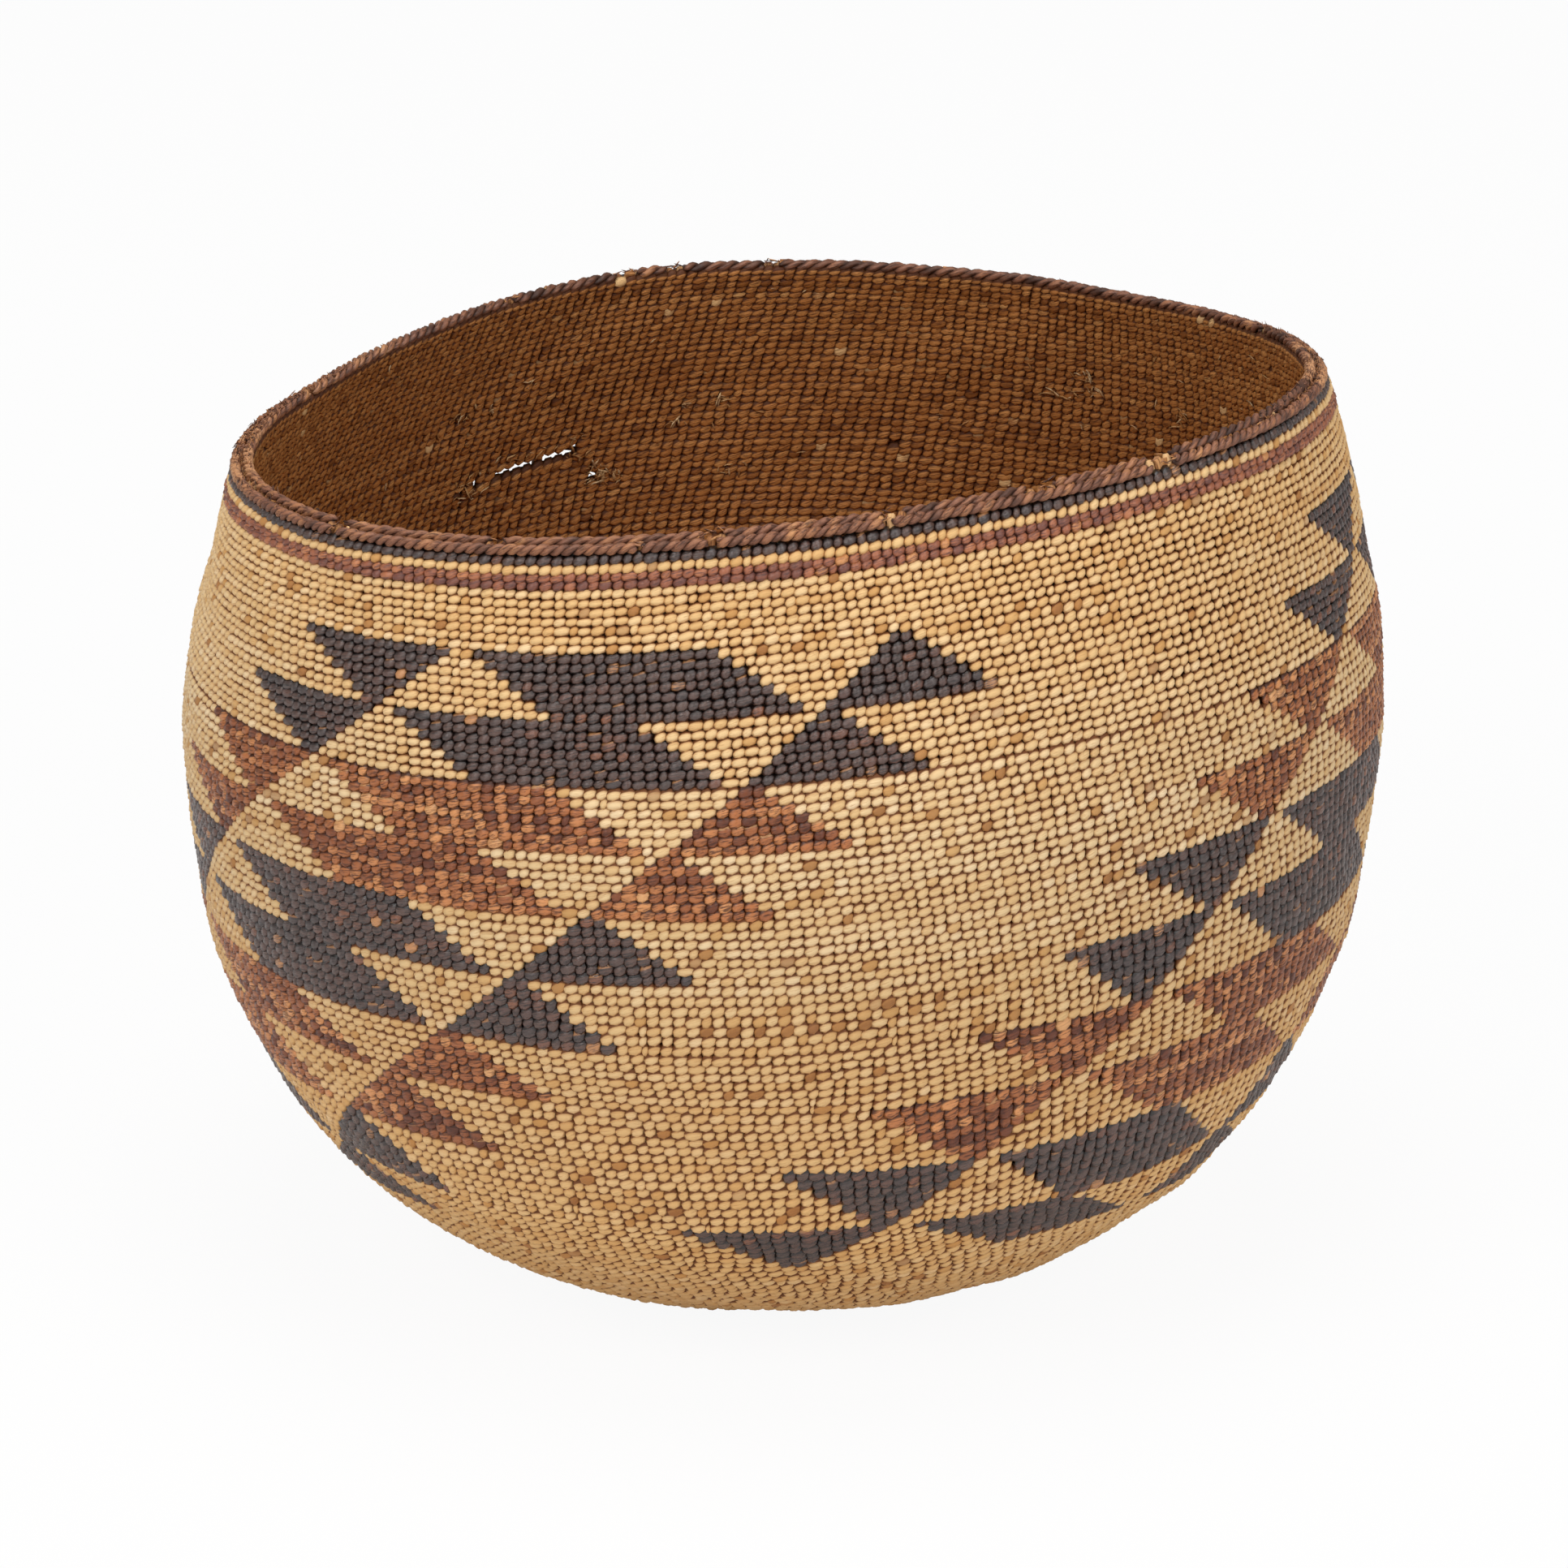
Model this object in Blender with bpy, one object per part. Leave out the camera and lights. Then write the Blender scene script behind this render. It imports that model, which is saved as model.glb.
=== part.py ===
"""A squat twined bowl basket, modelled as the pieces that it is woven from.

Upright shoots, the warps, cross at the middle of the base and run up to the rim. Outside them lies
the face that shows the pattern, inside them the plain root weft, and two ropes bind their ends.
Every piece is drawn on one wall surface, at its own depth behind the outer face, so the pieces nest.
Sizes are in metres. +Z is up, the origin is the middle of the underside, and -Y is the front.
"""
import math

import bmesh
import bpy
import numpy as np

# Size of the bowl
GIRTH_DIAMETER = 0.250
GIRTH_HEIGHT = 0.12315
RIM_DIAMETER = 0.2219
FOOT_DIAMETER = 0.0581
HEIGHT = 0.1862

# Handmade unevenness of the rim's height and of the mouth's roundness
RIM_TILT = 0.0127
RIM_SADDLE = 0.0029
RIM_WAVE = 0.0012
MOUTH_OVAL = 0.0043
MOUTH_WAVE = 0.0045

# Thickness of the woven layers, outside to inside, and the space kept between pieces
OUTER_WEFT = 0.0009
WARP_THICKNESS = 0.0013
WARP_WIDTH = 0.0021
INNER_WEFT = 0.0008
CLEARANCE = 0.0003

# Ropes that bind the warps at the rim
ROPE_HEIGHT = 0.0020
ROPE_THICKNESS = 0.0015

# Start of the weave at the middle of the base
START_RADIUS = 0.0120
FAN_RADIUS = 0.0135
ADDED_WARP_START = 0.0400

# Longest straight stretch of a piece along the wall
STATION_STEP = 0.018

# Counts. A quarter turn holds the ends of one set of crossing warps, and each end or added warp
# stands at a corner of the bowl's segments
CROSSING_WARPS = 5
WARP_ENDS = 4 * CROSSING_WARPS
SEGMENTS = 2 * WARP_ENDS
ROPE_SIDES = 6

# Exponents of the two curves that make the wall's outline, below and above the girth
BELLY_FALL = 2.456
BELLY_SWELL = 0.457
SHOULDER_CURVE = 1.439

# Directions of the unevenness, in degrees about +Z from +X
RIM_TILT_TURN = -56.7
RIM_SADDLE_TURN = -41.4
RIM_WAVE_TURN = -9.1
MOUTH_OVAL_TURN = 42.3
MOUTH_WAVE_TURN = -30.5

# Where each outer band ends, as a share of the way from the base's middle to the rim
BASE_END_SHARE = 0.190
LOWER_WALL_END_SHARE = 0.399
PATTERN_END_SHARES = (0.511, 0.619, 0.726, 0.824, 0.922)
UPPER_WALL_END_SHARE = 0.9685
RED_BORDER_END_SHARE = 0.980
PALE_BORDER_END_SHARE = 0.9865
INNER_END_SHARES = (0.399, 0.726)

# Colours, linear red, green and blue
STRAW = (0.72, 0.50, 0.22)
DARK_FERN = (0.040, 0.025, 0.024)
RED_FERN = (0.37, 0.115, 0.033)
ROOT = (0.23, 0.093, 0.026)
ROPE_BROWN = (0.155, 0.064, 0.037)
SHOOT = (0.42, 0.25, 0.12)

# Depths behind the outer face
WARP_OUTER_DEPTH = OUTER_WEFT + CLEARANCE
WARP_INNER_DEPTH = WARP_OUTER_DEPTH + WARP_THICKNESS
INNER_OUTER_DEPTH = WARP_INNER_DEPTH + CLEARANCE
INNER_INNER_DEPTH = INNER_OUTER_DEPTH + INNER_WEFT
CROSSING_LIFT = WARP_THICKNESS + CLEARANCE

FOOT_RADIUS = FOOT_DIAMETER / 2
TABLE_STEPS = 2000


def profile_radius(height):
    """Radius of the outer face at a height, with the bowl taken as perfectly round and level."""
    girth_radius = GIRTH_DIAMETER / 2
    if height <= GIRTH_HEIGHT:
        rise = height / GIRTH_HEIGHT
        swell = (1 - (1 - rise) ** BELLY_FALL) ** BELLY_SWELL
        return FOOT_RADIUS + (girth_radius - FOOT_RADIUS) * swell
    rise = (height - GIRTH_HEIGHT) / (HEIGHT - GIRTH_HEIGHT)
    return girth_radius - (girth_radius - RIM_DIAMETER / 2) * rise ** SHOULDER_CURVE


def wall_table():
    """Distances along the wall from the foot to the rim, with the radius and height at each."""
    rises = np.linspace(0, 1, TABLE_STEPS) ** 2
    heights = rises * HEIGHT
    radii = np.array([profile_radius(height) for height in heights])
    steps = np.hypot(np.diff(radii), np.diff(heights))
    return np.concatenate([[0], np.cumsum(steps)]), radii, heights


WALL_RUN, WALL_RADII, WALL_HEIGHTS = wall_table()
MERIDIAN = FOOT_RADIUS + WALL_RUN[-1]


def meridian_point(share):
    """Radius and height at a share of the way from the base's middle to the rim."""
    run = share * MERIDIAN
    if run <= FOOT_RADIUS:
        return run, 0.0
    radius = np.interp(run - FOOT_RADIUS, WALL_RUN, WALL_RADII)
    height = np.interp(run - FOOT_RADIUS, WALL_RUN, WALL_HEIGHTS)
    return float(radius), float(height)


def meridian_normal(share):
    """Outward direction there, as radial and upright parts."""
    reach = CLEARANCE / MERIDIAN
    low, high = max(share - reach, 0), min(share + reach, 1)
    if share * MERIDIAN <= FOOT_RADIUS:
        return 0.0, -1.0
    low_radius, low_height = meridian_point(low)
    high_radius, high_height = meridian_point(high)
    along_radius, along_height = high_radius - low_radius, high_height - low_height
    length = math.hypot(along_radius, along_height)
    return along_height / length, -along_radius / length


def wave(turn, order, direction):
    """A cosine wave round the bowl that peaks in the given direction."""
    return math.cos(order * (turn - math.radians(direction)))


def wall_point(turn, share, depth):
    """The point at a turn about +Z and a share of the wall, so deep behind the outer face."""
    radius, height = meridian_point(share)
    out, up = meridian_normal(share)
    radius -= depth * out
    height -= depth * up
    rise = height / HEIGHT
    stretch = RIM_TILT * wave(turn, 1, RIM_TILT_TURN)
    stretch += RIM_SADDLE * wave(turn, 2, RIM_SADDLE_TURN)
    stretch += RIM_WAVE * wave(turn, 3, RIM_WAVE_TURN)
    spread = MOUTH_OVAL * wave(turn, 2, MOUTH_OVAL_TURN)
    spread += MOUTH_WAVE * wave(turn, 3, MOUTH_WAVE_TURN)
    radius += radius / (RIM_DIAMETER / 2) * spread * rise ** 2
    height += stretch * rise
    return radius * math.cos(turn), radius * math.sin(turn), height


def lift_share(radius):
    """How far the upper crossing warps are lifted: fully at the fan, not at all from the foot on."""
    return min(max((FOOT_RADIUS - radius) / (FOOT_RADIUS - FAN_RADIUS), 0), 1)


def stations(low_share, high_share):
    """Shares at which pieces bend between two ends, the same for every piece."""
    fixed = [START_RADIUS / MERIDIAN, FAN_RADIUS / MERIDIAN, FOOT_RADIUS / MERIDIAN, BASE_END_SHARE]
    fixed += [LOWER_WALL_END_SHARE, *PATTERN_END_SHARES, UPPER_WALL_END_SHARE, 1.0]
    found = []
    for start, end in zip(fixed, fixed[1:]):
        count = max(1, math.ceil((end - start) * MERIDIAN / STATION_STEP))
        found += [start + (end - start) * step / count for step in range(count)]
    margin = CLEARANCE / MERIDIAN
    inside = [share for share in found if low_share + margin < share < high_share - margin]
    return [low_share, *inside, high_share]


def material(name, colour, roughness):
    """A plain material with the piece's colour."""
    made = bpy.data.materials.new(name)
    made.use_nodes = True
    shader = made.node_tree.nodes["Principled BSDF"]
    shader.inputs["Base Color"].default_value = (*colour, 1)
    shader.inputs["Roughness"].default_value = roughness
    shader.inputs["Metallic"].default_value = 0
    made.diffuse_color = (*colour, 1)
    return made


def add_object(name, mesh_maker, colour, roughness=0.7):
    """Turn a bmesh into a smooth-shaded object with its own material."""
    bmesh.ops.triangulate(mesh_maker, faces=mesh_maker.faces)
    bmesh.ops.recalc_face_normals(mesh_maker, faces=mesh_maker.faces)
    mesh = bpy.data.meshes.new(name)
    mesh_maker.to_mesh(mesh)
    mesh_maker.free()
    mesh.materials.append(material(name, colour, roughness))
    mesh.shade_smooth()
    mesh.set_sharp_from_angle(angle=math.radians(40))
    made = bpy.data.objects.new(name, mesh)
    bpy.context.collection.objects.link(made)
    return made


def turn_at(index):
    """The turn about +Z of one of the bowl's equal segments."""
    return 2 * math.pi * index / SEGMENTS


def ring(name, outline, colour, roughness=0.7):
    """Carry a closed outline of shares and depths all the way round the bowl."""
    maker = bmesh.new()
    loops = []
    for index in range(SEGMENTS):
        turn = turn_at(index)
        loops.append([maker.verts.new(wall_point(turn, share, depth)) for share, depth in outline])
    count = len(outline)
    for index in range(SEGMENTS):
        here, there = loops[index], loops[(index + 1) % SEGMENTS]
        for corner in range(count):
            after = (corner + 1) % count
            maker.faces.new((here[corner], there[corner], there[after], here[after]))
    return add_object(name, maker, colour, roughness)


def band(name, low_share, high_share, colour):
    """A course of outer weft between two heights, with half the clearance at each edge."""
    half_gap = CLEARANCE / 2 / MERIDIAN
    shares = stations(low_share + half_gap, high_share - half_gap)
    outer = [(share, 0) for share in shares]
    inner = [(share, OUTER_WEFT) for share in reversed(shares)]
    return ring(name, outer + inner, colour)


def lining(name, low_share, high_share, colour):
    """A stretch of the inner weft, which rides over the crossing warps near the middle."""
    half_gap = CLEARANCE / 2 / MERIDIAN
    shares = stations(low_share + half_gap, high_share - half_gap)
    lifts = [lift_share(share * MERIDIAN) * CROSSING_LIFT for share in shares]
    outer = [(share, INNER_OUTER_DEPTH + lift) for share, lift in zip(shares, lifts)]
    inner = [(share, INNER_INNER_DEPTH + lift) for share, lift in zip(shares, lifts)]
    return ring(name, outer + inner[::-1], colour)


def disc(name, end_share, outer_depth, inner_depth, lift, colour):
    """A round plate about the middle of the base, whose two faces may rise with the crossing warps."""
    half_gap = CLEARANCE / 2 / MERIDIAN
    shares = stations(0, end_share - half_gap)[1:]
    maker = bmesh.new()
    sheets = []
    for depth in (outer_depth, inner_depth):
        middle = maker.verts.new(wall_point(0, 0, depth + lift))
        loops = []
        for share in shares:
            height = depth + lift * lift_share(share * MERIDIAN)
            loops.append([maker.verts.new(wall_point(turn_at(index), share, height))
                          for index in range(SEGMENTS)])
        sheets.append((middle, loops))
    for index in range(SEGMENTS):
        after = (index + 1) % SEGMENTS
        for middle, loops in sheets:
            maker.faces.new((middle, loops[0][index], loops[0][after]))
            for near, far in zip(loops, loops[1:]):
                maker.faces.new((near[index], far[index], far[after], near[after]))
        below, above = sheets[0][1][-1], sheets[1][1][-1]
        maker.faces.new((below[index], below[after], above[after], above[index]))
    return add_object(name, maker, colour)


def rope(name, outer_depth, colour):
    """A rounded ring at the top of the wall, as one of the two ropes."""
    middle_share = 1 - ROPE_HEIGHT / 2 / MERIDIAN
    outline = []
    for side in range(ROPE_SIDES):
        angle = 2 * math.pi * (side + 0.5) / ROPE_SIDES
        share = middle_share + ROPE_HEIGHT / 2 / MERIDIAN * math.cos(angle)
        depth = outer_depth + ROPE_THICKNESS / 2 * (1 + math.sin(angle))
        outline.append((share, depth))
    return ring(name, outline, colour, 0.8)


def rod(name, sections, colour):
    """A shoot through four-cornered sections, closed at both ends."""
    maker = bmesh.new()
    loops = [[maker.verts.new(corner) for corner in section] for section in sections]
    for here, there in zip(loops, loops[1:]):
        for corner in range(4):
            after = (corner + 1) % 4
            maker.faces.new((here[corner], here[after], there[after], there[corner]))
    maker.faces.new(loops[0][::-1])
    maker.faces.new(loops[-1])
    return add_object(name, maker, colour)


def upright_section(turn, share, lift):
    """Corners of a warp where it runs straight out from the middle or up the wall."""
    radius = max(meridian_point(share)[0], WARP_WIDTH)
    half_turn = math.asin(WARP_WIDTH / 2 / radius)
    shallow, deep = WARP_OUTER_DEPTH + lift, WARP_INNER_DEPTH + lift
    places = ((-half_turn, shallow), (half_turn, shallow), (half_turn, deep), (-half_turn, deep))
    return [wall_point(turn + side, share, depth) for side, depth in places]


def upright_run(turn, start_share, lift):
    """Sections of a warp from a share of the wall to its end at the rim."""
    sections = []
    for share in stations(start_share, 1.0):
        here = lift * lift_share(share * MERIDIAN)
        sections.append(upright_section(turn, share, here))
    return sections


def fan_section(turn, along, lift):
    """Corners at the fan, mitred between the straight crossing and the run at its own turn."""
    middle = np.array([math.cos(turn), math.sin(turn)]) * FAN_RADIUS
    outward = np.array([math.cos(turn), math.sin(turn)]) + np.array(along)
    outward /= np.linalg.norm(outward)
    aside = np.array([-outward[1], outward[0]])
    half_bend = math.acos(min(1.0, float(outward @ np.array(along))))
    reach = WARP_WIDTH / 2 / math.cos(half_bend)
    shallow, deep = WARP_OUTER_DEPTH + lift, WARP_INNER_DEPTH + lift
    corners = []
    for side, depth in ((-reach, shallow), (reach, shallow), (reach, deep), (-reach, deep)):
        place = middle + side * aside
        corners.append((*place, depth))
    return corners


def crossing_warp(name, quarter, angle, lift):
    """A shoot that rises at both sides and crosses the middle of the base between them."""
    near_turn = quarter + angle
    far_turn = quarter + math.pi - angle
    along = (math.cos(quarter), math.sin(quarter))
    back = (-along[0], -along[1])
    start_share = (FAN_RADIUS + 2 * WARP_WIDTH) / MERIDIAN
    near = [fan_section(near_turn, along, lift), *upright_run(near_turn, start_share, lift)]
    far = [fan_section(far_turn, back, lift), *upright_run(far_turn, start_share, lift)]
    mirrored = [[section[1], section[0], section[3], section[2]] for section in far]
    return rod(name, [*reversed(mirrored), *near], SHOOT)


def build_outer_face():
    """The face that carries the pattern, from the start of the base to the border under the rim."""
    start_share = START_RADIUS / MERIDIAN
    rim_share = 1 - (ROPE_HEIGHT + CLEARANCE / 2) / MERIDIAN
    disc("start_binding", start_share, 0, OUTER_WEFT, 0, STRAW)
    band("base_weft", start_share, BASE_END_SHARE, STRAW)
    band("wall_pale_lower", BASE_END_SHARE, LOWER_WALL_END_SHARE, STRAW)
    names = ("pattern_dark_low", "pattern_red_low", "pattern_dark_middle",
             "pattern_red_high", "pattern_dark_high")
    low_share = LOWER_WALL_END_SHARE
    for name, high_share in zip(names, PATTERN_END_SHARES):
        colour = DARK_FERN if "dark" in name else RED_FERN
        band(name, low_share, high_share, colour)
        low_share = high_share
    band("wall_pale_upper", low_share, UPPER_WALL_END_SHARE, STRAW)
    band("border_red", UPPER_WALL_END_SHARE, RED_BORDER_END_SHARE, RED_FERN)
    band("border_pale", RED_BORDER_END_SHARE, PALE_BORDER_END_SHARE, STRAW)
    band("border_dark", PALE_BORDER_END_SHARE, rim_share, DARK_FERN)


def build_inner_face():
    """The plain root weft that shows inside the bowl."""
    rim_share = 1 - (ROPE_HEIGHT + CLEARANCE / 2) / MERIDIAN
    disc("inner_base", BASE_END_SHARE, INNER_OUTER_DEPTH, INNER_INNER_DEPTH, CROSSING_LIFT, ROOT)
    lining("inner_wall_low", BASE_END_SHARE, INNER_END_SHARES[0], ROOT)
    lining("inner_wall_middle", INNER_END_SHARES[0], INNER_END_SHARES[1], ROOT)
    lining("inner_wall_high", INNER_END_SHARES[1], rim_share, ROOT)


def build_rim():
    """The ropes outside and inside the ends of the warps."""
    rope("rim_rope_outer", OUTER_WEFT - ROPE_THICKNESS, ROPE_BROWN)
    rope("rim_rope_inner", INNER_OUTER_DEPTH, ROPE_BROWN)


def build_warps():
    """Two layers of crossing shoots, and one shoot added between each pair of their ends."""
    spacing = 2 * math.pi / WARP_ENDS
    number = 0
    for quarter, lift in ((0, 0), (math.pi / 2, CROSSING_LIFT)):
        for index in range(CROSSING_WARPS):
            number += 1
            angle = (index - (CROSSING_WARPS - 1) / 2) * spacing
            crossing_warp(f"warp_crossing_{number:02d}", quarter, angle, lift)
    for index in range(WARP_ENDS):
        sections = upright_run((index + 0.5) * spacing, ADDED_WARP_START / MERIDIAN, 0)
        rod(f"warp_added_{index + 1:02d}", sections, SHOOT)


def main():
    for old in list(bpy.data.objects):
        bpy.data.objects.remove(old, do_unlink=True)
    build_outer_face()
    build_inner_face()
    build_rim()
    build_warps()
    triangles = sum(len(made.data.polygons) for made in bpy.data.objects)
    print("pieces", len(bpy.data.objects), "triangles", triangles)
    print("way from the base's middle to the rim", round(MERIDIAN, 5))


main()
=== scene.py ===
# %% [markdown]
# # A twined bowl basket
# The basket is woven from thin plant strands. Upright shoots run from the middle of the base to the
# rim, and pairs of wefts are twined round them, row by row. Every twist shows as one small plump
# stitch. This notebook dresses the plain CAD model of the basket with nearly sixty thousand.
# The CAD model comes in first and never moves. Everything made here lies on its surfaces.

# %% Load the plain model
import math

import bpy
import numpy as np
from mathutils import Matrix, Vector


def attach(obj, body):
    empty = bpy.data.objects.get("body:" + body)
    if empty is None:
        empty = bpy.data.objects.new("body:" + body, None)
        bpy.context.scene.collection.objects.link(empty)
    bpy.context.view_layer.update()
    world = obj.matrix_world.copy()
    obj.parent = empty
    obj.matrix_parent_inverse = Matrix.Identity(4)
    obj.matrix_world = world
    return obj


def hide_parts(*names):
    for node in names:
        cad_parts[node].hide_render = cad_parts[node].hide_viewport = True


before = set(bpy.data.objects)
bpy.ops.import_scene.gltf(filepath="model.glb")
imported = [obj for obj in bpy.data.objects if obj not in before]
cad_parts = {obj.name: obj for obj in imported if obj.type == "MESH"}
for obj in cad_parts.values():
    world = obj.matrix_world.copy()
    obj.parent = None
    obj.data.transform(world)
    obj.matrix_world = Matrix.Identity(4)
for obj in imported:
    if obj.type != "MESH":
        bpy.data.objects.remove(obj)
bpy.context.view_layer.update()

# %% [markdown]
# ## The camera
# The photographer stood well back with a long lens and looked down a little, so the mouth shows as
# a flat ellipse. A camera has to be aimed, so its direction is turned into a rotation.

# %% Place the camera
TARGET = Vector((-0.00019, 0.0, 0.09833))
LOOK_DOWN = math.radians(22.13)
STAND_BACK = 2.4933
LENS = 270.95
scene = bpy.context.scene


def aim(thing, place):
    """Put a camera or a lamp at a place and turn it towards the basket."""
    scene.collection.objects.link(thing)
    thing.location = place
    thing.rotation_euler = (TARGET - Vector(place)).to_track_quat("-Z", "Y").to_euler()


camera = bpy.data.objects.new("camera", bpy.data.cameras.new("camera"))
aim(camera, TARGET + STAND_BACK * Vector((0.0, -math.cos(LOOK_DOWN), math.sin(LOOK_DOWN))))
camera.data.sensor_width = 36.0
camera.data.lens = LENS
camera.data.clip_end = 50.0
scene.camera = camera
print("camera at", tuple(round(v, 3) for v in camera.location))

# %% [markdown]
# ## Node trees written as sums
# Materials and Geometry Nodes are both graphs. Placing each Math node by hand is slow to read, so
# a small class holds one output socket and turns Python's own operators into nodes.

# %% A wire that does sums
class Wire:
    """One output of a node tree. Sums with it add Math nodes to the tree."""

    def __init__(self, tree, socket=None):
        self.tree, self.socket = tree, socket

    def node(self, kind, settings=None, sockets=None, output=0):
        """Add a node, set it up, join its sockets and return one of its outputs."""
        made = self.tree.nodes.new(kind)
        for name, value in (settings or {}).items():
            if name == "stops":
                ramp = made.color_ramp
                while len(ramp.elements) < len(value):
                    ramp.elements.new(0.5)
                for element, (place, colour) in zip(ramp.elements, value):
                    element.position, element.color = place, colour
            else:
                setattr(made, name, value)
        for key, value in (sockets or {}).items():
            if isinstance(value, Wire):
                self.tree.links.new(value.socket, made.inputs[key])
            else:
                made.inputs[key].default_value = value
        return Wire(self.tree, made.outputs[output]) if len(made.outputs) else None

    def math(self, operation, first, second):
        return self.node("ShaderNodeMath", {"operation": operation}, {0: first, 1: second})

    def __add__(self, other):
        return self.math("ADD", self, other)

    def __sub__(self, other):
        return self.math("SUBTRACT", self, other)

    def __mul__(self, other):
        return self.math("MULTIPLY", self, other)

    def __rsub__(self, other):
        return self.math("SUBTRACT", other, self)

    __radd__, __rmul__ = __add__, __mul__

    def split(self):
        """The three numbers of a vector."""
        parts = self.tree.nodes.new("ShaderNodeSeparateXYZ")
        self.tree.links.new(self.socket, parts.inputs[0])
        return [Wire(self.tree, part) for part in parts.outputs]

    def ramp(self, low, high, start=0.0, end=1.0):
        """Carry values from low..high over to start..end, smoothly and held at both ends."""
        return self.node("ShaderNodeMapRange", {"interpolation_type": "SMOOTHSTEP"},
                         {0: self, 1: low, 2: high, 3: start, 4: end})

    def colours(self, *stops):
        """Turn a number into a colour by stops, each a place and a colour picked on screen."""
        painted = [(place, paint(*picked)) for place, *picked in stops]
        return self.node("ShaderNodeValToRGB", {"stops": painted}, {0: self})

    def blend(self, other, factor, mode="MIX"):
        """Lay another colour over this one."""
        return self.node("ShaderNodeMix", {"data_type": "RGBA", "blend_type": mode},
                         {0: factor, 6: self, 7: other}, output=2)


def paint(red, green, blue):
    """A colour picked on screen, from 0 to 255 a channel, as the linear numbers that nodes use."""
    linear = [(v / 255 / 12.92) if v < 10.3 else ((v / 255 + 0.055) / 1.055) ** 2.4
              for v in (red, green, blue)]
    return (*linear, 1.0)


print("straw", tuple(round(v, 3) for v in paint(222, 188, 128)))

# %% [markdown]
# ## A white studio
# A product photograph is lit by large soft lamps from above and stands on white. The floor here is
# plain and white to the camera, through Light Path, while its shadow stays. Three area lamps and
# an even world give every colour about the brightness that it is written with.

# %% Build the floor, the lamps and the world
FLOOR_DROP, FLOOR_REACH = 0.0011, 6.0
scene.view_settings.view_transform = "Standard"


def new_object(name, spots, faces, flat=None):
    """An object with its own mesh and, for a strand, the UV map that its material reads."""
    mesh = bpy.data.meshes.new(name)
    mesh.from_pydata([tuple(spot) for spot in spots], [], faces)
    if flat is not None:
        layer = mesh.uv_layers.new(name="strand")
        for loop in mesh.loops:
            layer.data[loop.index].uv = flat[loop.vertex_index]
    made = bpy.data.objects.new(name, mesh)
    scene.collection.objects.link(made)
    return made


def new_material(name):
    """An empty node material and the first wire of its tree."""
    made = bpy.data.materials.new(name)
    made.use_nodes = True
    made.node_tree.nodes.clear()
    return made, Wire(made.node_tree)


floor = new_object("studio_floor", [(x * FLOOR_REACH, y * FLOOR_REACH, -FLOOR_DROP)
                                    for x, y in ((-1, -1), (1, -1), (1, 1), (-1, 1))],
                   [(0, 1, 2, 3)])

floor_paint, wire = new_material("studio_white")
matt = wire.node("ShaderNodeBsdfDiffuse", None, {"Color": (0.86, 0.86, 0.86, 1.0)})
glow = wire.node("ShaderNodeEmission", None, {"Color": (1.0, 1.0, 1.0, 1.0), "Strength": 1.0})
seen = wire.node("ShaderNodeLightPath", output="Is Camera Ray")
mixed = wire.node("ShaderNodeMixShader", None, {0: seen * 0.93, 1: matt, 2: glow})
wire.node("ShaderNodeOutputMaterial", None, {"Surface": mixed})
floor.data.materials.append(floor_paint)

scene.world = bpy.data.worlds.new("studio_air")
scene.world.use_nodes = True
air = scene.world.node_tree.nodes["Background"].inputs
air["Color"].default_value = (1.0, 0.99, 0.97, 1.0)
air["Strength"].default_value = 0.36

for name, place, width, watts in (("lamp_front_left", (-1.0, -1.3, 1.25), 1.0, 15.0),
                                  ("lamp_front_right", (1.1, -1.3, 1.15), 1.0, 11.5),
                                  ("lamp_above", (0.0, -0.1, 1.7), 0.9, 11.0)):
    lamp = bpy.data.lights.new(name, "AREA")
    lamp.size, lamp.energy = width, watts
    aim(bpy.data.objects.new(name, lamp), place)

# %% [markdown]
# ## The wall that everything lies on
# The CAD solids are drawn on one surface: an outline from the foot over the girth to the mouth, a
# rim that tilts, and a mouth that isn't quite round. The same rule, repeated here for whole arrays
# of points, tells where a stitch belongs. Handmade ware is never even, so faint dents are added.

# %% Repeat the wall's rule
GIRTH_RADIUS = 0.125
GIRTH_HEIGHT = 0.12315
RIM_RADIUS = 0.11095
FOOT_RADIUS = 0.02905
HEIGHT = 0.1862
BELLY_FALL, BELLY_SWELL, SHOULDER_CURVE = 2.456, 0.457, 1.439
RIM_WAVES = ((0.0127, 1, -56.7), (0.0029, 2, -41.4), (0.0012, 3, -9.1))
MOUTH_WAVES = ((0.0043, 2, 42.3), (0.0045, 3, -30.5))
DENTS = ((0.00022, 5, 20, 31), (0.00018, 9, 130, 47), (0.00012, 16, 250, 71))
SLOPE_STEP, DENTS_FROM = 0.0011, 0.2

heights = np.linspace(0, 1, 2000) ** 2 * HEIGHT
rise = np.clip(heights / GIRTH_HEIGHT, 0, 1)
belly = FOOT_RADIUS + (GIRTH_RADIUS - FOOT_RADIUS) * (1 - (1 - rise) ** BELLY_FALL) ** BELLY_SWELL
rise = np.clip((heights - GIRTH_HEIGHT) / (HEIGHT - GIRTH_HEIGHT), 0, 1)
radii = np.where(heights <= GIRTH_HEIGHT, belly,
                 GIRTH_RADIUS - (GIRTH_RADIUS - RIM_RADIUS) * rise ** SHOULDER_CURVE)
runs = np.concatenate([[0], np.cumsum(np.hypot(np.diff(radii), np.diff(heights)))])
MERIDIAN = FOOT_RADIUS + runs[-1]


def waves(turn, rows):
    """Sum of cosine waves round the bowl, each with a height, an order and a direction."""
    return sum(size * np.cos(order * (turn - math.radians(peak))) for size, order, peak in rows)


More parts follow.
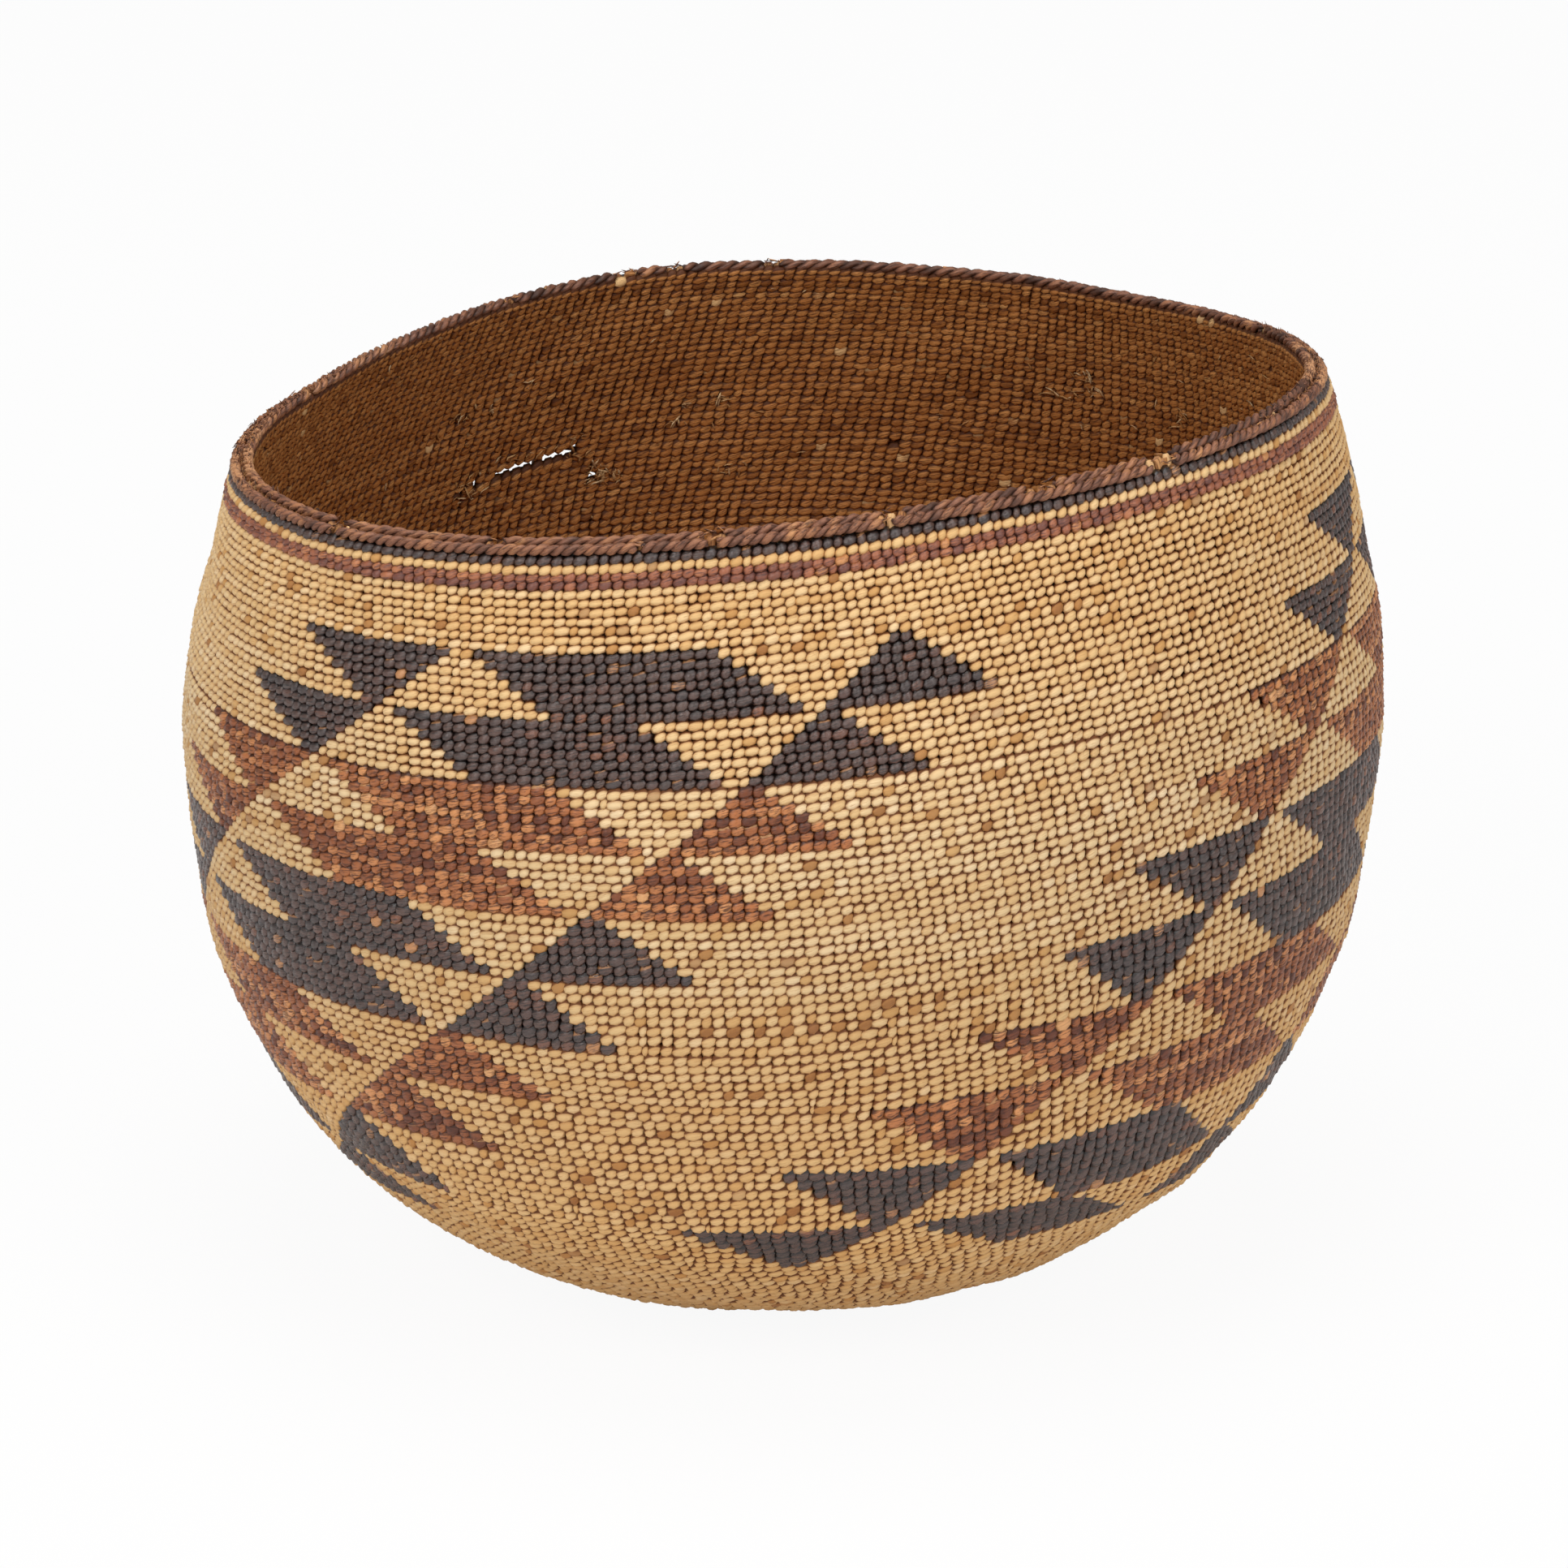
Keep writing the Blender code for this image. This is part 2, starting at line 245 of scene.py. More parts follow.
def outline(share):
    """Radius and height at shares of the way from the base's middle to the rim."""
    run = np.asarray(share, float) * MERIDIAN
    radius = np.where(run <= FOOT_RADIUS, run, np.interp(run - FOOT_RADIUS, runs, radii))
    return radius, np.interp(run - FOOT_RADIUS, runs, heights)


def wall(turn, share, depth=0.0):
    """Points so deep behind the outer face, for arrays of turns and shares."""
    radius, height = outline(share)
    high = outline(np.minimum(share + SLOPE_STEP, 1.0))
    low = outline(np.maximum(share - SLOPE_STEP, 0.0))
    along = np.stack([high[0] - low[0], high[1] - low[1]])
    along = along / np.maximum(np.hypot(*along), 1e-12)
    on_foot = np.asarray(share) * MERIDIAN <= FOOT_RADIUS
    out, up = np.where(on_foot, 0.0, along[1]), np.where(on_foot, -1.0, -along[0])
    fade = np.clip(np.asarray(share) / DENTS_FROM, 0, 1)
    for size, order, start, climb in DENTS:
        depth = depth + fade * size * np.sin(order * turn + start + climb * share)
    radius = radius - depth * out
    height = height - depth * up
    rise = height / HEIGHT
    radius = radius * (1 + waves(turn, MOUTH_WAVES) / RIM_RADIUS * rise ** 2)
    height = height + waves(turn, RIM_WAVES) * rise
    return np.stack([radius * np.cos(turn), radius * np.sin(turn), height], -1)


print("way from the base's middle to the rim", round(MERIDIAN, 5))

# %% [markdown]
# ## Rows and columns
# Twining climbs the basket row by row, and each upright shoot makes a column of stitches. Where
# the bowl widens, the weaver adds shoots, so the columns grow in number from a handful at the
# middle to 290 at the rim. The count below follows that: new columns start narrow and widen.

# %% Count the rows
START_EDGE, ROPE_FOOT, ROPE_TOP = 0.0443, 0.9926, 0.9972
TIER_EDGES = (0.3975, 0.4466, 0.5113, 0.5690, 0.6187, 0.6745, 0.7258, 0.7756, 0.8238, 0.8726,
              0.9224)
BORDER_EDGES = (0.9685, 0.9800, 0.9865)
START_ROWS, PLAIN_ROWS, TIER_ROWS = 5, 46, 7
edges = (0.0105, START_EDGE, *TIER_EDGES, *BORDER_EDGES, ROPE_FOOT, ROPE_TOP)
counts = (START_ROWS, PLAIN_ROWS, *[TIER_ROWS] * (len(TIER_EDGES) - 1), 7, 2, 1, 1, 1)
row_edges = np.concatenate([np.linspace(low, high, count, endpoint=False)
                            for low, high, count in zip(edges, edges[1:], counts)] + [[ROPE_TOP]])
row_middles = (row_edges[1:] + row_edges[:-1]) / 2
print("rows", len(row_middles))

# %% Grow the columns from the base to the rim
BASE_STITCH, LOWER_STITCH = 0.0027, 0.00285
COUNTED_SHARES = (0.35, 0.38, 0.397, 0.398, 0.446, 0.447, 0.568, 0.570, 0.618, 0.619)
COUNTED_COLUMNS = (196, 204, 204, 220, 220, 250, 250, 266, 266, 290)
DRIFT = 0.13
NEW_WIDTH, WIDEN = 0.45, 0.15
chance = np.random.default_rng(7)


def columns_at(share):
    """How many columns stand round the bowl at a share of the wall."""
    if share >= COUNTED_SHARES[0]:
        return int(np.interp(share, COUNTED_SHARES, COUNTED_COLUMNS))
    width = BASE_STITCH if share < 0.1 else LOWER_STITCH
    return max(6, int(2 * math.pi * float(outline(share)[0]) / width))


def grow_columns():
    """The turn of every column's left edge in each row, from the base up."""
    widths, phase, grown = np.full(columns_at(row_middles[0]), 1.0), 0.0, []
    for share in row_middles:
        widths = np.minimum(widths + WIDEN, np.maximum(widths, 1.0))
        missing = columns_at(share) - len(widths)
        if missing > 0:
            places = (np.arange(missing) + chance.random(missing)) * len(widths) / missing
            widths = np.insert(widths, places.astype(int), NEW_WIDTH)
        steps = widths / widths.sum() * 2 * math.pi
        phase -= DRIFT * steps[0]
        grown.append(phase + np.concatenate([[0], np.cumsum(steps)]))
    return grown


column_edges = grow_columns()
print("columns from", len(column_edges[0]) - 1, "to", len(column_edges[-1]) - 1)
print("stitches on a face", sum(len(edges) - 1 for edges in column_edges))

# %% [markdown]
# ## The pattern
# The stepped figures are counted in stitches, as a weaver counts them. Each motif hangs on two
# lines, which move one stitch to the left in every row going down. Right of the first line stands a
# triangle that widens by two stitches a row. Left of the second one stands a triangle that narrows,
# and a long slanted bar fills the room between. Ten tiers of seven rows repeat the figure, and
# there are three motifs round the bowl.

# %% Mark the dyed stitches
MOTIF_TURNS = ((10.4, -34.3), (127.65, 82.95), (249.0, 204.3))
TIER_BASE_ROW = START_ROWS + PLAIN_ROWS
PATTERN_ROWS = TIER_ROWS * (len(TIER_EDGES) - 1)


def nearest(edges, turn):
    """The column whose left edge lies nearest a turn."""
    off = (edges[:-1] - turn + math.pi) % (2 * math.pi) - math.pi
    return int(np.argmin(np.abs(off)))


def leaning_line(start):
    """The column at which a line stands in every row of the pattern, from the top down."""
    turn, columns = math.radians(start), []
    for step in range(PATTERN_ROWS):
        edges = column_edges[TIER_BASE_ROW + PATTERN_ROWS - 1 - step]
        fresh = step % TIER_ROWS == 0
        columns.append(nearest(edges, turn) if fresh else columns[-1] - 1)
        turn -= (1 - DRIFT) * 2 * math.pi / (len(edges) - 1)
    return columns


def dyed_columns():
    """For each row of the tiers, which of its columns are overlaid with fern."""
    marked = {}
    for first, second in MOTIF_TURNS:
        for step, (right, left) in enumerate(zip(leaning_line(first), leaning_line(second))):
            row = TIER_BASE_ROW + PATTERN_ROWS - 1 - step
            count, widening = len(column_edges[row]) - 1, 2 * (step % TIER_ROWS)
            here = marked.setdefault(row, np.zeros(count, bool))
            bar_end = right - 2 * TIER_ROWS + widening + (count if right < left else 0)
            for low, high in ((right, right + 2 + widening),
                              (left - 2 * TIER_ROWS + widening, left),
                              (left + 2 + widening, bar_end)):
                here[np.arange(low, high) % count] = True
    return marked


dyed = dyed_columns()
print("dyed stitches", int(sum(row.sum() for row in dyed.values())))

# %% [markdown]
# ## Breaks in the weave
# The basket is old. A row of twining has parted high on the back left of the wall, so that
# daylight shows through a thin slit, with a few small holes near it. Each break is a place on the
# wall where the stitches round a short line are pushed aside. The five numbers are its middle and
# half its length, both in degrees, its place on the way up, how far it gapes in metres, and its
# climb for each degree. They hold on the inner face. The light comes through slanting, along the
# line of sight, so deeper in the wall the break sits a little lower and to one side.

# %% List the breaks
BREAKS = ((117.9, 4.7, 0.8236, 0.0011, -0.0008), (125.7, 0.25, 0.8165, 0.0012, 0.0),
          (127.4, 0.15, 0.8115, 0.0007, 0.0), (113.0, 0.3, 0.8315, 0.0009, 0.0),
          (110.6, 0.25, 0.8000, 0.0013, 0.0))
INNER_DEPTH = 0.0036
HALF_STITCH = 0.00162, 0.00150
SHELL_GAPE = 0.0013
SLIT_END, SLIT_FADE = 0.012, 0.014


def sight_steps(turn, share):
    """How turn and share change for each metre on the way out through the wall, as light goes."""
    tiny = 1e-4
    here = wall(turn, share, INNER_DEPTH)
    steps = np.stack([wall(turn + tiny, share, INNER_DEPTH) - here,
                      wall(turn, share + tiny, INNER_DEPTH) - here,
                      wall(turn, share, INNER_DEPTH - tiny) - here], 1) / tiny
    sight = here - np.array(camera.location)
    turning, climbing, outward = np.linalg.solve(steps, sight / np.linalg.norm(sight))
    return turning / outward, climbing / outward


BREAK_STEPS = [sight_steps(math.radians(one[0]), one[2]) for one in BREAKS]


def break_line(number, turn, depth):
    """How far points lie past a break's middle, within its length, and the break's share there."""
    middle, half, share, _, climb = BREAKS[number]
    swing, drop = (step * (INNER_DEPTH - depth) for step in BREAK_STEPS[number])
    off = (turn - math.radians(middle) - swing + math.pi) % (2 * math.pi) - math.pi
    within = np.clip(off, -math.radians(half), math.radians(half))
    return off, within, share + drop + climb * np.degrees(within)


def parted(turn, share, depth):
    """How far each point of a shell moves along the wall, in shares, to open the breaks."""
    shift = np.zeros(np.broadcast(turn, share).shape)
    for number, (_, half, _, gap, _) in enumerate(BREAKS):
        off, _, line = break_line(number, turn, depth)
        side = np.clip(1 - (off / (math.radians(half) + SLIT_END)) ** 2, 0, 1) ** 0.35
        fade = np.clip(1 - np.abs(share - line) / SLIT_FADE, 0, 1)
        shift += np.where(share >= line, 1, -1) * side * fade * (gap + SHELL_GAPE) / 2 / MERIDIAN
    return shift


def pushed_aside(turn, share, depth):
    """Move the middles of stitches so far off the breaks that none lies across the light."""
    for number, (_, _, _, gap, _) in enumerate(BREAKS):
        off, within, line = break_line(number, turn, depth)
        past = off - within
        wide = past * RIM_RADIUS / HALF_STITCH[0]
        tall = (share - line) * MERIDIAN / (HALF_STITCH[1] + gap / 2)
        near = np.maximum(np.hypot(wide, tall), 1e-6)
        push = np.where(near < 1, 1 / near - 1, 0.0)
        turn, share = turn + push * past, share + push * (share - line)
    return turn, share


print("breaks", len(BREAKS))

# %% [markdown]
# ## Colours of the strands
# Beargrass bleaches to straw yellow, the stem of the fern is near black with a bluish sheen, and
# the dyed strands are rust red. No two stitches match. Each carries a number for its tone and one
# for its wear, and the material turns these into colour. Streaks follow the strand's own UV map,
# and so does the painted shade in the creases of each stitch and, on straw, round its edge.

# %% Helpers for strand materials
def strand_maps(wire, lines=13.0):
    """The numbers that all strand materials read: tone, wear, the place on the stitch, and a mask
    for painted crease shade.
    """
    look = wire.node("ShaderNodeAttribute", {"attribute_name": "look"}, output="Vector")
    tone, wear, luck = look.split()
    along, across, _ = wire.node("ShaderNodeUVMap", {"uv_map": "strand"}).split()
    fibre = wire.node("ShaderNodeCombineXYZ", None,
                      {0: along * 1.6 + luck * 31.0, 1: across * lines, 2: luck * 57.0})
    streak = wire.node("ShaderNodeTexNoise", {"noise_dimensions": "3D"},
                       {"Vector": fibre, "Scale": 1.0, "Detail": 3.0, "Roughness": 0.6})
    # edge grows towards the ends of a stitch and most towards its upper edge, under the row above;
    # the materials paint shade into the creases with it.
    edge = (along - 0.5) * (along - 0.5) * 3.0 + (across - 0.42) * (across - 0.42) * 4.0
    return tone, wear, luck, across, streak, edge


def strand_output(wire, colour, roughness, streak, bump, specular):
    """Join colour, gloss and fibre relief to the shader."""
    relief = wire.node("ShaderNodeBump", None,
                       {"Strength": bump, "Distance": 0.0002, "Height": streak})
    shader = wire.node("ShaderNodeBsdfPrincipled", None,
                       {"Base Color": colour, "Roughness": roughness, "Normal": relief,
                        "Specular IOR Level": specular})
    wire.node("ShaderNodeOutputMaterial", None, {"Surface": shader})


print("strand helpers ready")

# %% Mix the straw
STRAW_TONES = ((0.0, 158, 110, 64), (0.07, 182, 134, 82), (0.18, 204, 160, 102),
               (0.34, 220, 183, 130), (0.62, 230, 201, 154), (1.0, 240, 218, 182))
HEIGHT_TINTS = ((0.0, 0.96, 0.80, 0.60), (0.20, 0.97, 0.82, 0.62), (0.36, 0.87, 0.74, 0.58),
                (0.52, 0.90, 0.85, 0.77), (0.66, 0.97, 0.95, 0.92), (0.80, 0.98, 0.90, 0.78),
                (0.95, 0.98, 0.87, 0.71))


def straw_material():
    """Straw paler at the girth than low down, with fibres, worn spots, and painted shade low on
    each stitch, round its edge and in its creases.
    """
    made, wire = new_material("bleached_straw")
    tone, wear, _, across, streak, edge = strand_maps(wire)
    up = wire.node("ShaderNodeTexCoord", output="Object").split()[2]
    stops = [(place, (*tint, 1.0)) for place, *tint in HEIGHT_TINTS]
    tint = wire.node("ShaderNodeValToRGB", {"stops": stops}, {0: up * 5.0})
    colour = tone.colours(*STRAW_TONES).blend(tint, 1.0, "MULTIPLY")
    # Fibre streaks and worn spots are the straw's own colour. The tan over the lower part of each
    # stitch, the tan round its edge and the dark brown in its creases are painted shade.
    for picked, where in (((180, 126, 74), streak.ramp(0.50, 0.74, 0.0, 0.55)),
                          ((174, 116, 58), across.ramp(0.46, 0.06, 0.0, 0.55)),
                          ((186, 130, 70), edge.ramp(0.16, 0.72, 0.0, 0.45)),
                          ((104, 52, 14), edge.ramp(0.55, 0.92, 0.0, 0.95)),
                          ((150, 100, 62), wear * 0.7)):
        colour = colour.blend(paint(*picked), where)
    strand_output(wire, colour, streak.ramp(0.2, 0.8, 0.52, 0.70), streak, 0.30, 0.35)
    return made


straw = straw_material()
print("mixed", straw.name)

# %% Mix the ferns
def fern_material(name, stops, dark, worn, gloss, bump, specular=0.5, lines=13.0, crease_shade=0.95,
                  whole=0.93):
    """A dyed or dark strand, with painted shade in its creases, whose worn edges show a paler
    inside.
    """
    made, wire = new_material(name)
    tone, wear, luck, across, streak, edge = strand_maps(wire, lines)
    dark, worn = paint(*dark), paint(*worn)
    colour = tone.colours(*stops)
    colour = colour.blend(dark, streak.ramp(0.45, 0.66, 0.0, 0.85))
    # Painted shade in the creases: darker towards the ends and most towards the upper edge of each
    # stitch.
    colour = colour.blend(dark, edge.ramp(0.42, 0.95, 0.0, crease_shade))
    colour = colour.blend(worn, (wear * streak.ramp(0.30, 0.60, 1.0, 0.55)).ramp(0.25, 0.6))
    sliver = across.ramp(0.70, 0.82) * (luck.ramp(whole, whole + 0.02) * streak.ramp(0.4, 0.5))
    colour = colour.blend(worn, sliver * 0.7)
    rough = streak.ramp(0.25, 0.75, gloss, gloss + 0.22)
    strand_output(wire, colour, rough, streak, bump, specular)
    return made


dark_fern = fern_material(
    "dark_fern_stem",
    ((0.0, 128, 78, 52), (0.12, 104, 68, 54), (0.25, 86, 60, 52), (0.6, 88, 63, 53),
     (1.0, 70, 55, 52)), (20, 11, 9), (190, 132, 82), 0.23, 0.9, 0.75, 9.0)
red_fern = fern_material(
    "red_fern_strand",
    ((0.0, 104, 52, 28), (0.3, 146, 82, 44), (0.65, 180, 110, 62), (1.0, 214, 146, 90)),
    (66, 28, 10), (216, 160, 106), 0.34, 0.7, 0.5, 7.0)
border_red = fern_material(
    "border_red_strand", ((0.0, 120, 72, 58), (0.5, 160, 96, 66), (1.0, 190, 122, 80)),
    (84, 52, 48), (200, 138, 86), 0.34, 0.6, 0.5, 7.0)
print("mixed", dark_fern.name, red_fern.name, border_red.name)

# %% Mix the root, the ropes and the shoots
root = fern_material(
    "smoked_root",
    ((0.0, 140, 82, 32), (0.35, 184, 117, 57), (0.8, 216, 150, 84), (1.0, 232, 176, 110)),
    (70, 28, 2), (226, 182, 126), 0.5, 0.6, 0.35, crease_shade=0.92, whole=0.985)
rope_strand = fern_material(
    "rope_strand",
    ((0.0, 60, 34, 22), (0.4, 138, 90, 66), (0.7, 172, 116, 78), (1.0, 208, 150, 94)),
    (66, 37, 26), (198, 144, 100), 0.42, 0.8, 0.45, 9.0, crease_shade=0.0)
shoot_ends_look = fern_material(
    "cut_shoot_end", ((0.0, 124, 78, 48), (0.5, 166, 110, 66), (1.0, 204, 150, 98)),
    (92, 54, 30), (220, 176, 124), 0.6, 0.4, 0.25)
frayed = fern_material(
    "frayed_fibre", ((0.0, 168, 116, 66), (0.5, 206, 162, 108), (1.0, 236, 208, 164)),
    (140, 92, 52), (240, 216, 180), 0.6, 0.2, 0.25)


def shoot_material(name, pale, brown):
    """Peeled shoots, streaked along their length."""
    made, wire = new_material(name)
    place = wire.node("ShaderNodeTexCoord", output="Object")
    stretched = wire.node("ShaderNodeMapping", None, {"Vector": place, "Scale": (1.0, 1.0, 0.15)})
    grain = wire.node("ShaderNodeTexNoise", None,
                      {"Vector": stretched, "Scale": 900.0, "Detail": 3.0})
    colour = grain.colours((0.35, *brown), (0.65, *pale))
    strand_output(wire, colour, 0.65, grain, 0.3, 0.2)
    return made


shoot = shoot_material("peeled_shoot", (198, 140, 84), (128, 80, 48))
# Both shell browns are painted shade: the strands' colours darkened as if in shadow.
dark_ground = shoot_material("shadowed_weft", (106, 60, 28), (74, 40, 18))
inner_ground = shoot_material("shadowed_root", (104, 54, 16), (66, 32, 8))
print("materials", len(bpy.data.materials))

# %% [markdown]
# ## One stitch
# A stitch is a short stretch of flat strand that bulges where it passes over a shoot: an oval
# pillow. It leans, because each twist rises to the right over the start of the next, and its upper
# edge is tucked under the row above. High on the wall the stitches are plump, and lower down they
# lap over each other like scales, so there are three shapes for outside and one for inside. As
# they are repeated tens of thousands of times, they have only thirty triangles or less. The second
# number of the UV map runs from 0 at the lower edge to about 1 where the stitch slips under the
# row above, so a material can paint shade into both creases.

# %% Draw a stitch
LAP_MAP, END_MAP = 0.80, 0.80


def tube(rings, around, first=0):
    """Faces of a closed tube, whose rings of points run clockwise about the way ahead."""
    faces = [(here + i, here + around + i, here + around + j, here + j)
             for here in range(first, first + (rings - 1) * around, around)
             for i, j in ((i, (i + 1) % around) for i in range(around))]
    last = first + (rings - 1) * around
    return faces + [tuple(range(first, first + around)),
                    tuple(reversed(range(last, last + around)))]


def pillow(name, around, rings, half_length, half_height, lean, blunt=1.0, tuck=0.0, slip=0.0):
    """A domed oval, one unit to a column and a row, closed underneath, with its own UV map."""
    angles = np.arange(around) * 2 * math.pi / around
    wide = np.sign(np.cos(angles)) * np.abs(np.cos(angles)) ** blunt
    spots, flat = [(0.0, 0.0, 1.0)], [(0.5, half_height * LAP_MAP)]
    for reach, height in rings:
        for x, y in zip(reach * wide, reach * np.sin(angles)):
            spots.append((half_length * x, half_height * y + lean * x,
                          height - tuck * y - slip * x))
            flat.append((0.5 + half_length * END_MAP * x, half_height * LAP_MAP * (1 + y)))
    *sides, _, bottom = tube(len(rings), around, 1)
    fan = [(0, 1 + i, 1 + (i + 1) % around) for i in range(around)]
    return new_object(name, spots, [*fan, *sides, bottom], flat)


ROUND_DOME = ((0.62, 0.80), (1.0, 0.12))
FLAT_DOME = ((0.68, 0.82), (1.0, 0.24))
plump_stitch = pillow("plump_stitch", 8, ROUND_DOME, 0.68, 0.73, 0.18, 1.0, 0.34, 0.16)
lapped_stitch = pillow("lapped_stitch", 8, FLAT_DOME, 0.67, 0.85, 0.18, 1.0, 0.52, 0.16)
scale_stitch = pillow("scale_stitch", 8, FLAT_DOME, 0.66, 0.93, 0.18, 1.0, 0.62, 0.16)
inner_stitch = pillow("inner_stitch", 7, FLAT_DOME, 0.68, 0.88, 0.25, 0.95, 0.56, 0.12)
print("triangles in a stitch", sum(len(face.vertices) - 2 for face in plump_stitch.data.polygons))

# %% [markdown]
# ## Sewing with Geometry Nodes
# Python works out where each stitch sits, and stores it as bare points with four attributes: the
# direction along the row, the direction out of the wall, the stitch's size, and its look for the
# material. A node tree then puts a stitch on every point, turns each a little by chance, and makes
# one plain mesh of them.

# %% Build the stitching tree
def stitching_tree():
    """A tree that sets a stitch on each point. Its inputs carry the maker's measures."""
    tree = bpy.data.node_groups.new("stitching", "GeometryNodeTree")
    tree.interface.new_socket("Points", in_out="INPUT", socket_type="NodeSocketGeometry")
    for name, kind, value in (("Stitch", "Object", None), ("Width", "Float", 1.0),
                              ("Height", "Float", 1.0), ("Bulge", "Float", 1.0),
                              ("Unevenness", "Float", 0.1), ("Wobble", "Float", 0.06),
                              ("Seed", "Int", 1), ("Strand", "Material", None)):
        made = tree.interface.new_socket(name, in_out="INPUT", socket_type="NodeSocket" + kind)
        if value is not None:
            made.default_value = value
    tree.interface.new_socket("Stitches", in_out="OUTPUT", socket_type="NodeSocketGeometry")
    wire = Wire(tree)
    take = {socket.name: Wire(tree, socket) for socket in tree.nodes.new("NodeGroupInput").outputs}

    def attribute(name):
        return wire.node("GeometryNodeInputNamedAttribute", {"data_type": "FLOAT_VECTOR"},
                         {"Name": name})

    def three(*numbers):
        return wire.node("ShaderNodeCombineXYZ", None, dict(enumerate(numbers)))

    facing = wire.node("FunctionNodeAxesToRotation",
                       {"primary_axis": "Z", "secondary_axis": "X"},
                       {"Primary Axis": attribute("outward"), "Secondary Axis": attribute("along")})
    sway = wire.node("FunctionNodeRandomValue", {"data_type": "FLOAT"},
                     {2: take["Wobble"] * -1.0, 3: take["Wobble"], "Seed": take["Seed"]}, output=1)
    lean = wire.node("FunctionNodeAxisAngleToRotation", None,
                     {"Axis": (0.0, 0.0, 1.0), "Angle": sway})
    turned = wire.node("FunctionNodeRotateRotation", {"rotation_space": "LOCAL"},
                       {"Rotation": facing, "Rotate By": lean})
    low, high = 1.0 - take["Unevenness"], 1.0 + take["Unevenness"]
    luck = wire.node("FunctionNodeRandomValue", {"data_type": "FLOAT_VECTOR"},
                     {0: three(low, low, low), 1: three(high, high, high),
                      "Seed": take["Seed"] + 1.0})
    size = attribute("size")
    for factor in (three(take["Width"], take["Height"], take["Bulge"]), luck):
        size = wire.node("ShaderNodeVectorMath", {"operation": "MULTIPLY"}, {0: size, 1: factor})
    shape = wire.node("GeometryNodeObjectInfo", {"transform_space": "ORIGINAL"},
                      {"Object": take["Stitch"]}, output="Geometry")
    sewn = wire.node("GeometryNodeInstanceOnPoints", None,
                     {"Points": take["Points"], "Instance": shape, "Rotation": turned,
                      "Scale": size})
    for step in ("GeometryNodeRealizeInstances", "GeometryNodeSetShadeSmooth"):
        sewn = wire.node(step, None, {"Geometry": sewn})
    sewn = wire.node("GeometryNodeSetMaterial", None,
                     {"Geometry": sewn, "Material": take["Strand"]})
    wire.node("NodeGroupOutput", None, {0: sewn})
    return tree


stitching = stitching_tree()
print("nodes in the stitching tree", len(stitching.nodes))

# %% Turn points into a finished piece
def set_input(modifier, name, value):
    """Set a tree's named input through its identifier."""
    for item in modifier.node_group.interface.items_tree:
        if item.name == name and item.in_out == "INPUT":
            modifier[item.identifier] = value


def sew(name, points, stitch, material, measures, seed):
    """Make one plain mesh of stitches, with its place in its vertices."""
    mesh = bpy.data.meshes.new(name + "_points")
    mesh.vertices.add(len(points["place"]))
    mesh.vertices.foreach_set("co", points["place"].astype(np.float32).ravel())
    for key in ("along", "outward", "size", "look"):
        layer = mesh.attributes.new(key, "FLOAT_VECTOR", "POINT")
        layer.data.foreach_set("vector", points[key].astype(np.float32).ravel())
    seeds = bpy.data.objects.new(name + "_points", mesh)
    scene.collection.objects.link(seeds)
    modifier = seeds.modifiers.new("stitching", "NODES")
    modifier.node_group = stitching
    for key, value in {"Stitch": stitch, "Strand": material, "Seed": seed, **measures}.items():
        set_input(modifier, key, value)
    graph = bpy.context.evaluated_depsgraph_get()
    sewn = bpy.data.meshes.new_from_object(seeds.evaluated_get(graph), depsgraph=graph)
    bpy.data.objects.remove(seeds)
    bpy.data.meshes.remove(mesh)
    for key in ("along", "outward", "size"):
        if key in sewn.attributes:
            sewn.attributes.remove(sewn.attributes[key])
    sewn.name = name
    made = bpy.data.objects.new(name, sewn)
    scene.collection.objects.link(made)
    return made


print("sewing helper ready")

# %% [markdown]
# ## Where every stitch sits
# A stitch stands at the middle of its column and row. Its directions come from four neighbouring
# points of the wall, so they follow the bowl's uneven shape. Two strands take turns along a row,
# and each keeps its colour for a while, until it runs out and a new one is spliced in.

# %% Work out places, directions and looks
OUTER_BED, INNER_BED, INNER_FROM = 0.00072, 0.00295, 0.002
OUTER_BULGE, INNER_BULGE = 0.00112, 0.00092
JOSTLE, MOST_JOSTLE, ROW_SWAY, ROW_JUMP = 0.085, 0.25, 0.07, 0.03
SPLICE_AFTER, ODD_ONES, ODD_TONES = (5, 32), 0.045, (0.0, 0.35)
BROWN_REACH = 0.0035
CROSSING_LIFT, FAN_RADIUS = 0.0016, 0.0135
BROWN_STRETCHES = ((0.6545, 276, 297, 0.30), (0.6465, 264, 285, 0.42), (0.6385, 262, 279, 0.5),
                   (0.9175, 288, 304, 0.28), (0.8870, 280, 292, 0.25), (0.5450, 240, 256, 0.32),
                   (0.4700, 246, 262, 0.30), (0.4400, 268, 290, 0.34), (0.3900, 250, 272, 0.36),
                   (0.7080, 283, 300, 0.25), (0.5820, 286, 306, 0.30), (0.9520, 245, 262, 0.22))


def lifted(share):
    """How much deeper the inner face lies over the crossing shoots in the middle of the base."""
    reach = (FOOT_RADIUS - np.asarray(share) * MERIDIAN) / (FOOT_RADIUS - FAN_RADIUS)
    return CROSSING_LIFT * np.clip(reach, 0, 1)


def layer_point(turn, share, depth):
    """A point of one layer of the wall."""
    inner = np.asarray(depth) > INNER_FROM
    return wall(turn, share, depth + np.where(inner, lifted(share), 0.0))


def unit(vectors):
    """Vectors brought to a length of one, and the lengths they had."""
    lengths = np.linalg.norm(vectors, axis=-1, keepdims=True)
    return vectors / lengths, lengths


def directions(turn, share, depth, side, rise):
    """The ways along the row, up the wall and out of it, and how far apart the neighbours are."""
    across, width = unit(layer_point(turn + side, share, depth)
                         - layer_point(turn - side, share, depth))
    up, height = unit(layer_point(turn, np.minimum(share + rise, 1), depth)
                      - layer_point(turn, share - rise, depth))
    return across, up, unit(np.cross(across, up))[0], width, height


